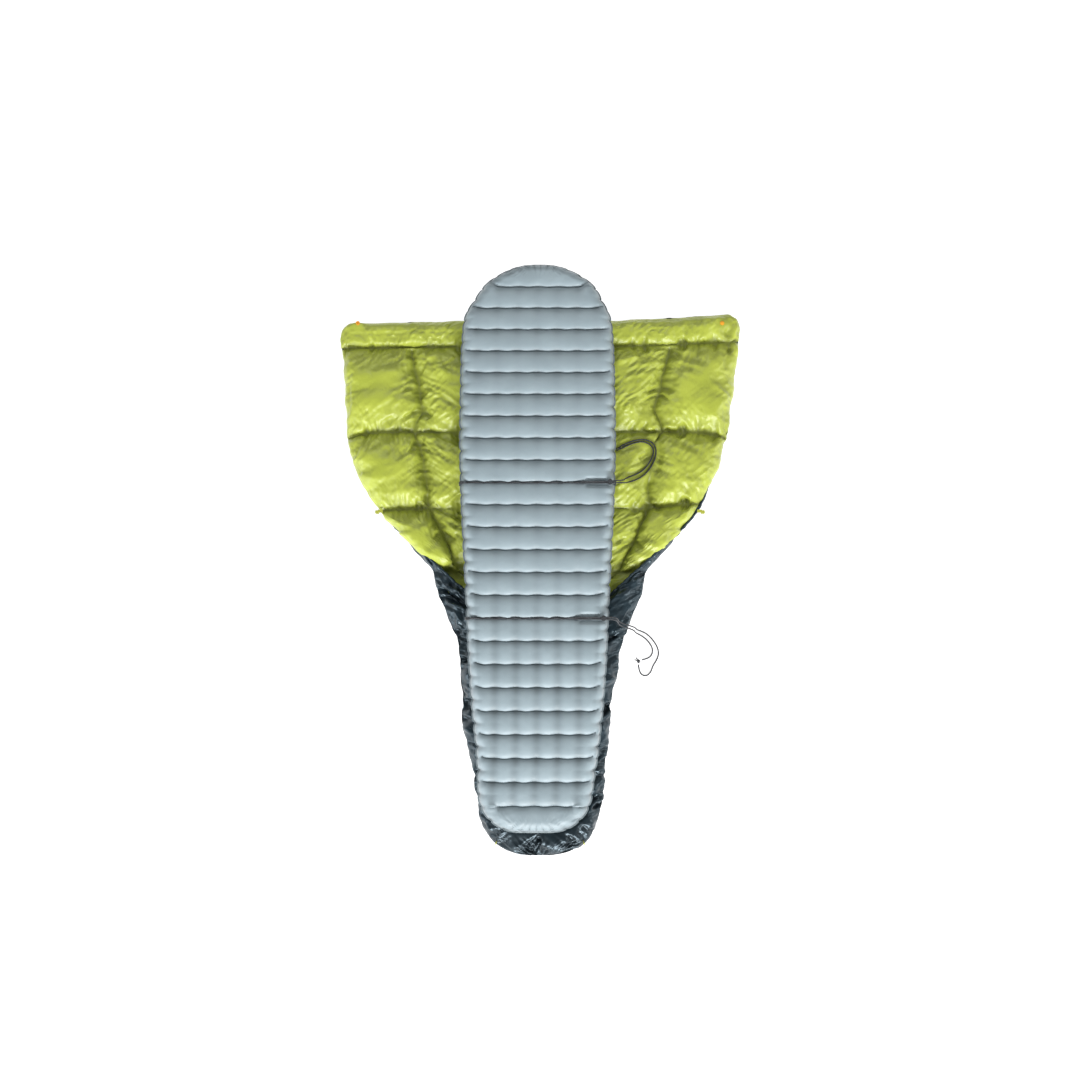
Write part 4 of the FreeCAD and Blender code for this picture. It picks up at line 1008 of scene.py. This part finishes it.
def underside_height(x, y, outline):
    """Height of the shell that lies on the floor, at places given by |x| and y."""
    gap = distance_to(outline, x, y)
    z = 0.0115 * (1 - smooth_step(gap / 0.035)) ** 1.3
    foot = smooth_step((-0.02 - y) / 0.08)
    z = z + foot * 0.0145 * (1 - smooth_step(gap / 0.040)) ** 1.2
    for seam in CROSS_SEAMS[2:] + FOOT_SEAMS:
        off = np.abs(y - seam)
        z += 0.007 * np.exp(-(off / 0.012) ** 2) * (1 + 0.35 * ripples(x, y, 0.05, 5))
    long_off = np.abs(x - curve_through(LONG_SEAM, np.maximum(y, FOOT_TOP_Y)))
    z += np.where(y > FOOT_TOP_Y, 0.007 * np.exp(-(long_off / 0.012) ** 2), 0)
    z += 0.0011 * (1 + ripples(x, y, 0.055, 8)) * (1 - smooth_step((z - 0.004) / 0.02))
    return np.clip(z, 0.0002, None)


def underside(word, side, outline):
    """Half of the dark shell under the open part."""
    rows = np.concatenate([np.linspace(FOOT_TOP_Y, TIP_Y, 20)[:-1], np.linspace(TIP_Y, HEAD_Y, 120)])
    t = 1 - (1 - np.linspace(0, 1, 76)) ** 1.25
    half = edge_half(rows)
    x = half[:, None] * t[None, :]
    y = rows_across(rows, len(t))
    z = underside_height(x, y, outline)
    return cloth_piece(f"shell_{word}", warp_open(np.dstack([x * side * 0.996, y, z])),
                       turned(grid_faces(len(rows), len(t)), -side), MATERIALS["shell"])


def footbox_bottom(outline):
    rows = np.concatenate([np.linspace(TOE_Y, -0.841, 22)[:-1], np.linspace(-0.841, FOOT_TOP_Y, 110)])
    t = np.linspace(-1, 1, 81)
    t = np.sign(t) * (1 - (1 - np.abs(t)) ** 1.3)
    x = foot_half(rows)[:, None] * t[None, :]
    y = rows_across(rows, len(t))
    z = underside_height(np.abs(x), y, outline)
    return cloth_piece("footbox_bottom", warp_open(np.dstack([x, y, z])),
                       turned(grid_faces(len(rows), len(t)), -1), MATERIALS["shell"])


RIM_Z = 0.0265


def foot_grid():
    """Places of the right half of the footbox's back, after the rows where its seams and its mouth's end are."""
    stops = [TOE_Y, -0.841, -0.705, -0.490, MOUTH_FOOT_Y, -0.270, FOOT_TOP_Y]
    counts = [18, 24, 40, 32, 10, 42]
    rows = np.concatenate([np.linspace(a, b, n, endpoint=False)
                           for a, b, n in zip(stops, stops[1:], counts)] + [[FOOT_TOP_Y]])
    marks = list(np.cumsum([0] + counts))
    columns = 46
    t = np.linspace(0, 1, columns)
    outer = foot_half(rows)
    inner = np.where(rows > -0.3199, mouth_half(rows), 0.0)
    x = inner[:, None] + (outer - inner)[:, None] * t[None, :]
    return marks, x, rows_across(rows, columns)


def footbox_top():
    """The footbox's back: both halves joined below the mouth, full of down between its seams."""
    marks, x, y = foot_grid()
    count, columns = x.shape
    apex = marks[4]
    gap = np.minimum(distance_to(quilt_outline(), x, y), 1)
    pinned = np.zeros(x.shape, bool)
    for row in (marks[2], marks[3], marks[5], marks[6]):
        pinned[row, :] = True
    pinned[:, -1] = pinned[0, :] = True
    pinned[apex:, 0] = True
    to_cross = np.full(x.shape, 9.0)
    for seam in FOOT_SEAMS:
        to_cross = np.minimum(to_cross, np.abs(y - seam))
    mouth = np.where(y > MOUTH_FOOT_Y, np.clip(x - mouth_half(np.maximum(y, MOUTH_FOOT_Y)), 0, 1), 1)
    index = np.arange(count * columns).reshape(count, columns)
    merged = np.zeros((count, columns), bool)
    merged[:apex + 1, 0] = True
    other = np.zeros_like(index)
    other[~merged] = count * columns + np.arange((~merged).sum())
    other[merged] = index[merged]
    faces = []
    for r in range(count - 1):
        for c in range(columns - 1):
            faces.append((index[r, c], index[r, c + 1], index[r + 1, c + 1], index[r + 1, c]))
            faces.append((other[r, c], other[r + 1, c], other[r + 1, c + 1], other[r, c + 1]))
    faces = [tuple(int(i) for i in f) for f in faces]

    starts, creases = [], []
    for side in (1, -1):
        seed = 300 + 40 * side
        sx = x * side
        reach = 0.050 + 0.045 * smooth_step((y + 0.40) / 0.22) - 0.024 * smooth_step((-0.76 - y) / 0.08)
        roll = pillow(gap + 0.0005, reach)
        swell = pillow(to_cross, 0.075)
        wave = 0.0016 * ripples(sx, y, 0.05, seed)
        z = 0.0435 + wave + 0.024 * swell * (1 + 0.12 * ripples(sx, y, 0.13, seed + 1, 8))
        z = RIM_Z + (z - RIM_Z) * roll
        z = np.where(mouth < 0.03, z + (0.048 - z) * (1 - smooth_step(mouth / 0.03)), z)
        z = z + 0.0008 * ripples(sx, y, 0.022, seed + 2, 14) * ~pinned
        starts.append(np.dstack([sx, y, z]))
        along = np.where(y < -0.86, np.abs(x) * 1.3 + y, y)
        crease = gathers(along, gap, seed + 3, 0.041, 0.078, 0.0190, 0.5)
        crease = crease + gathers(sx, to_cross, seed + 6, 0.030, 0.044, 0.0080)
        drawn = ripples(sx, y, 0.036, seed + 9, 9, direction=side * 0.95 + math.pi / 2, spread=0.32)
        drawn = np.clip(0.65 - np.abs(drawn), 0, 1) ** 1.4 * np.clip(0.5 + ripples(sx, y, 0.12, seed + 10, 7), 0, 1)
        crease = crease + 0.007 * drawn * pillow(gap, 0.02)
        crease = crease + 0.003 * ripples(sx, y, 0.06, seed + 11, 9) * pillow(gap, 0.04)
        calm = smooth_step((mouth - 0.002) / 0.012) * smooth_step((FOOT_TOP_Y - y) / 0.012)
        creases.append(crease * calm)
    points = np.concatenate([starts[0].reshape(-1, 3), starts[1][~merged]])
    pins = np.concatenate([pinned.ravel(), pinned[~merged]])
    crease = np.concatenate([creases[0].ravel(), creases[1][~merged]])
    cut = (points - np.array([0, -0.5, 0])) * np.array([1.04, 1.035, 1.0]) + np.array([0, -0.5, 0])
    soft = relaxed(points, faces, cut, pins, 40.0, 12, 0.016)
    soft = warp_open(along_normals(soft, faces, crease))
    pressed = under_pad(soft[:, 0], soft[:, 1])
    soft[:, 2] = soft_cap(np.maximum(soft[:, 2], RIM_Z - 0.003), 0.0735 - 0.0145 * pressed)
    soft = laid_under_cords(soft)
    obj = cloth_piece("footbox_top", soft, faces, MATERIALS["shell"])
    # Painted shade: darker colour along the seams, in the creases and over the toe.
    deep = 0.8 * np.exp(-to_cross / 0.008) + 0.55 * smooth_step((-0.79 - y) / 0.07)
    deep = np.concatenate([deep.ravel(), deep[~merged]]) + 0.6 * np.clip(-crease / 0.006, 0, 1)
    set_painted_shade(obj, deep)
    return obj


def toe_loops():
    """Two small webbing loops sewn into the toe's seam."""
    parts = []
    for side in (-1, 1):
        turn = np.linspace(0, math.pi, 9)
        path = [(side * (0.137 + 0.002 * math.cos(a)), -0.911 - 0.006 * math.cos(a), 0.045 + 0.013 * math.sin(a))
                for a in turn]
        parts.append(loop_of_webbing(f"toe_loop{side}", path, (0.94, -side * 0.34, 0), 0.004, 0.0012))
    return join_as_mesh("toe_loops", parts)


def flap(word, side):
    """The thin part of the footbox's back that tapers up each side of the mouth to a tip."""
    rows = np.linspace(FOOT_TOP_Y, 0.0705, 44)
    t = np.linspace(0, 1, 30)
    inner, outer = mouth_half(rows), edge_half(rows)
    inner = np.minimum(inner, outer - 0.002)
    x = inner[:, None] + (outer - inner)[:, None] * t[None, :]
    y = rows_across(rows, len(t))
    across = (outer - inner)[:, None]
    puff = np.sin(math.pi * t[None, :] ** 0.8) * np.clip(across / 0.13, 0, 1) * 0.010
    puff = puff * (1 + 0.35 * ripples(x, y, 0.03, 81 + side)) * smooth_step((y - FOOT_TOP_Y) / 0.02)
    creases = ripples(x, y, 0.024, 85 + side, 10, direction=side * 0.6, spread=0.4)
    puff = puff + 0.0040 * creases * np.sin(math.pi * t[None, :])
    base = 0.048 * (1 - t[None, :]) ** 0.5 + RIM_Z * (1 - (1 - t[None, :]) ** 0.5)
    tip = smooth_step((y - 0.03) / 0.045)
    z = base + puff
    z = z + (0.024 - z) * tip
    start = 1 - smooth_step((y - FOOT_TOP_Y) / 0.012)
    seam = 0.045 + (RIM_Z - 0.045) * (1 - smooth_step((outer[:, None] - x) / 0.032))
    seam = np.where(t[None, :] < 0.001, 0.048, seam)
    z = z * (1 - start) + seam * start
    return cloth_piece(f"footbox_flap_{word}", warp_open(np.dstack([x * side, y, z])),
                       turned(grid_faces(len(rows), len(t)), side), MATERIALS["shell"])


def tube_along(name, line, radius, pucker, pitch, seed, flatten=1.0):
    """A soft bound edge of shell cloth: a tube along a line, gathered every so often."""
    sides = 12
    line = np.array(line, float)
    step = np.concatenate([[0], np.cumsum(np.linalg.norm(np.diff(line, axis=0), axis=1))])
    n = max(8, int(step[-1] / 0.0045))
    at = np.linspace(0, step[-1], n)
    line = np.stack([np.interp(at, step, line[:, k]) for k in range(3)], 1)
    ahead = np.gradient(line, axis=0)
    ahead /= np.linalg.norm(ahead, axis=1)[:, None]
    side = np.cross(UP, ahead)
    side /= np.linalg.norm(side, axis=1)[:, None]
    above = np.cross(ahead, side)
    wave = ripples(at, 0 * at, pitch, seed, 8, direction=0.001, spread=0.2)
    wave2 = ripples(at, 0 * at, pitch * 2.6, seed + 1, 6, direction=0.001, spread=0.2)
    r = radius * (1 + pucker * wave)
    line = line + side * (wave2 * radius * pucker * 0.9)[:, None]
    points = []
    for k in range(sides):
        a = 2 * math.pi * k / sides
        points.append(line + side * (r * math.cos(a))[:, None] + above * (r * flatten * math.sin(a))[:, None])
    points = np.array(points).transpose(1, 0, 2)
    faces = grid_faces(n, sides, closed=True)
    faces.append(tuple(range(sides)))
    faces.append(tuple((n - 1) * sides + k for k in reversed(range(sides))))
    return mesh_object(name, points, turned(faces, -1), MATERIALS["shell"])


def bound_edge(word, side):
    """The bound edge of a wing, round its collar corner to the middle of the head end."""
    ys = np.linspace(0.064, 0.775, 190)
    low = 1 - smooth_step((ys - TIP_Y) / 0.05)
    inset = 0.004 + 0.006 * smooth_step((ys - 0.15) / 0.1) - 0.003 * low
    sidewise = np.stack([edge_half(ys) - inset, ys, 0.0105 + 0.0125 * low], 1)
    corner = np.array([[0.638, 0.776, 0.0090], [0.628, 0.7815, 0.0085], [0.610, 0.7830, 0.0085]])
    head = np.stack([np.linspace(0.60, 0.0, 110), np.full(110, HEAD_Y - 0.011), np.full(110, 0.0085)], 1)
    line = np.concatenate([sidewise, corner, head])
    line[:, 0] *= side
    return tube_along(f"edge_{word}", warp_open(line), 0.0050, 0.16, 0.03, 21 + side, 0.9)


def mouth_hem(word, side):
    """The hem along one side of the footbox's mouth."""
    ys = np.linspace(0.0705, -0.318, 110)
    x = mouth_half(ys)
    z = 0.0475 + (0.026 - 0.0475) * smooth_step((ys - 0.02) / 0.05)
    line = warp_open(np.stack([x * side, ys, z], 1))
    return tube_along(f"mouth_hem_{word}", line, 0.0045, 0.2, 0.022, 31 + side)


def footbox_lining():
    """The lime inner bag of the footbox, seen only down its mouth."""
    rows = np.linspace(-0.900, -0.085, 60)
    half = np.minimum(foot_half(rows) - 0.026, foot_half(rows) * 0.9)
    count = 56
    points = []
    for y, w in zip(rows, half):
        bag = 0.5 + 0.5 * smooth_step((y + 0.90) / 0.08)
        for k in range(count):
            a = 2 * math.pi * k / count
            c, s = math.cos(a), math.sin(a)
            x = w * bag * math.copysign(abs(c) ** 0.5, c)
            z = 0.0285 + 0.0095 * math.copysign(abs(s) ** 0.7, s)
            if y > MOUTH_FOOT_Y and s > 0:
                z = min(z, 0.031)
            points.append((x, y, z + 0.0008 * math.sin(k * 1.9 + y * 90)))
    faces = turned(grid_faces(len(rows), count, closed=True), -1)
    faces.append(tuple(range(count)))
    return mesh_object("footbox_lining", warp_open(points), faces, MATERIALS["liner"])


def loop_of_webbing(name, path, width_axis, width, thickness):
    """A strip of webbing that follows a path, its width along one axis."""
    path = np.array(path, float)
    ahead = np.gradient(path, axis=0)
    ahead /= np.linalg.norm(ahead, axis=1)[:, None]
    wide = np.array(width_axis, float)
    normal = np.cross(ahead, wide)
    normal /= np.linalg.norm(normal, axis=1)[:, None]
    points = []
    for p, n in zip(path, normal):
        for a, b in ((-1, -1), (1, -1), (1, 1), (-1, 1)):
            points.append(p + wide * a * width / 2 + n * b * thickness / 2)
    faces = grid_faces(len(path), 4, closed=True)
    faces.append((0, 1, 2, 3))
    last = (len(path) - 1) * 4
    faces.append((last + 3, last + 2, last + 1, last))
    obj = mesh_object(name, points, faces, MATERIALS["webbing"], smooth=False)
    bevel = obj.modifiers.new("Soft", "BEVEL")
    bevel.width, bevel.segments = thickness * 0.25, 2
    return obj


# ---------------------------------------------------------------- plain finishes and small hardware

def plain(name, colour, rough, metal=0.0, grain=0.0, coat=0.0, sheen=0.0):
    material, tree, shader = nodes_of(name)
    shader.inputs["Roughness"].default_value = rough
    shader.inputs["Metallic"].default_value = metal
    shader.inputs["Coat Weight"].default_value = coat
    shader.inputs["Sheen Weight"].default_value = sheen
    spot = add(tree, "ShaderNodeTexCoord").outputs["Object"]
    drift = pattern(tree, spot, "ShaderNodeTexNoise", Scale=120.0, Detail=3.0)
    dark = tuple(c * 0.86 for c in colour)
    light = tuple(min(1, c * 1.12) for c in colour)
    tree.links.new(ramp(tree, drift.outputs["Fac"], [(0.3, dark), (0.7, light)]), shader.inputs["Base Color"])
    if grain:
        bumped(tree, shader, (drift.outputs["Fac"], grain, 0.0008))
    return material


def pad_fabric():
    """Satin polyester: grey-blue, with shade painted along its welds and round its rim, a fine weave and soft shallow
    creases.
    """
    material, tree, shader = nodes_of("pad_satin")
    link = tree.links.new
    spot = add(tree, "ShaderNodeTexCoord").outputs["Object"]
    drift = pattern(tree, spot, "ShaderNodeTexNoise", Scale=14.0, Detail=4.0)
    colour = ramp(tree, drift.outputs["Fac"], [(0.3, (0.240, 0.300, 0.328)), (0.7, (0.268, 0.332, 0.362))])
    # Painted shade: the colour is darkened along the welds, at the dimples, round the rim and over the foot end.
    link(darkened(tree, colour, 0.50), shader.inputs["Base Color"])
    shader.inputs["Roughness"].default_value = 0.50
    shader.inputs["Sheen Weight"].default_value = 0.25
    shader.inputs["Sheen Roughness"].default_value = 0.4
    shader.inputs["Specular IOR Level"].default_value = 0.45
    wrinkle = pattern(tree, spot, "ShaderNodeTexNoise", Scale=42.0, Detail=4.0, Distortion=0.6)
    weave = pattern(tree, spot, "ShaderNodeTexNoise", Scale=1400.0, Detail=2.0)
    bumped(tree, shader, (wrinkle.outputs["Fac"], 0.25, 0.0020), (weave.outputs["Fac"], 0.25, 0.0004))
    return material


def cord_cover():
    """Braided elastic cord: dark grey with a fine diagonal braid."""
    material, tree, shader = nodes_of("cord_braid")
    link = tree.links.new
    spot = add(tree, "ShaderNodeTexCoord").outputs["Object"]
    braid = pattern(tree, spot, "ShaderNodeTexVoronoi", Scale=900.0)
    link(ramp(tree, braid.outputs["Distance"], [(0.0, (0.036, 0.040, 0.047)), (0.8, (0.010, 0.012, 0.015))]),
         shader.inputs["Base Color"])
    shader.inputs["Roughness"].default_value = 0.62
    shader.inputs["Sheen Weight"].default_value = 0.08
    bumped(tree, shader, (braid.outputs["Distance"], 0.5, 0.0004))
    return material


MATERIALS = {
    "liner": nylon("liner_nylon", (0.345, 0.400, 0.048), (0.375, 0.430, 0.055), (0.405, 0.460, 0.064), 0.37,
                   sheen=0.06, crinkle=0.22, shade_depth=0.54),
    "shell": nylon("shell_nylon", (0.008, 0.015, 0.020), (0.012, 0.021, 0.027), (0.018, 0.029, 0.036), 0.28,
                   sheen=0.02, crinkle=0.12, shade_depth=0.75, shine=0.55, tint=(0.70, 0.88, 1.0)),
    "pad": pad_fabric(),
    "cord": cord_cover(),
    "film": plain("web_film", (0.22, 0.26, 0.28), 0.5),
    "webbing": plain("lime_webbing", (0.36, 0.38, 0.04), 0.7, grain=0.6, sheen=0.2),
    "snap": plain("snap_orange", (0.78, 0.36, 0.03), 0.35, coat=0.3),
    "lock": plain("lock_nylon", (0.045, 0.048, 0.052), 0.42, grain=0.2),
    "steel": plain("spring_steel", (0.55, 0.55, 0.56), 0.3, metal=1.0),
    "valve": plain("valve_grey", (0.10, 0.12, 0.13), 0.45, grain=0.15),
    "rubber": plain("membrane_rubber", (0.05, 0.05, 0.05), 0.6),
}


def hardware():
    """Finishes for the hard pieces, which show the CAD part's own shapes."""
    finishes = {
        "left_collar_snap_socket": "snap", "right_collar_snap_stud": "snap",
        "left_wing_strap_loop": "webbing", "right_wing_strap_loop": "webbing",
        "valve_housing": "valve", "valve_cap": "valve", "valve_membrane": "rubber", "valve_hinge_pin": "steel",
    }
    for word in ("upper", "lower"):
        finishes.update({f"{word}_lock_body": "lock", f"{word}_lock_plunger": "lock", f"{word}_lock_spring": "steel"})
    for name, finish in finishes.items():
        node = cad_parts[name]
        node.data.materials.clear()
        node.data.materials.append(MATERIALS[finish])


# ---------------------------------------------------------------- making

stage_and_camera()
cord_tails()
hardware()
sleeping_pad()
strap_bands()

outline = quilt_outline()
for word, side in (("left", -1), ("right", 1)):
    wing = f"{word}_wing"
    lining = liner_half(word, side)
    under = underside(word, side, outline)
    edge = bound_edge(word, side)
    hem = mouth_hem(word, side)
    cover = flap(word, side)
    for piece in (lining, under, edge, hem, cover):
        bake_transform(piece)
    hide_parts(f"{wing}_liner", f"{wing}_upper_down", f"{wing}_middle_down", f"{wing}_lower_down",
                f"{wing}_baffle_meshes", f"{wing}_collar_casing", f"{wing}_collar_down",
                *(("centre_liner", "centre_upper_down", "centre_middle_down", "centre_lower_down",
                   "centre_baffle_meshes", "centre_collar_casing", "centre_collar_down", "collar_elastic_tape")
                  if side > 0 else ()))
    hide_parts(f"{wing}_shell", *(("centre_shell",) if side > 0 else ()))

top = footbox_top()
bottom = footbox_bottom(outline)
bag = footbox_lining()
loops = toe_loops()
for piece, nodes, name in (
        (top, ("footbox_back_shell", "footbox_back_down", "footbox_side_down", "footbox_baffle_meshes"),
         "shell_fabric"),
        (bottom, ("footbox_front_shell", "footbox_front_down"), "shell_fabric"),
        (bag, ("footbox_liner",), "liner_fabric"), (loops, ("toe_hang_loops",), "webbing_loop")):
    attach(piece, "quilt")
    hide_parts(*nodes)
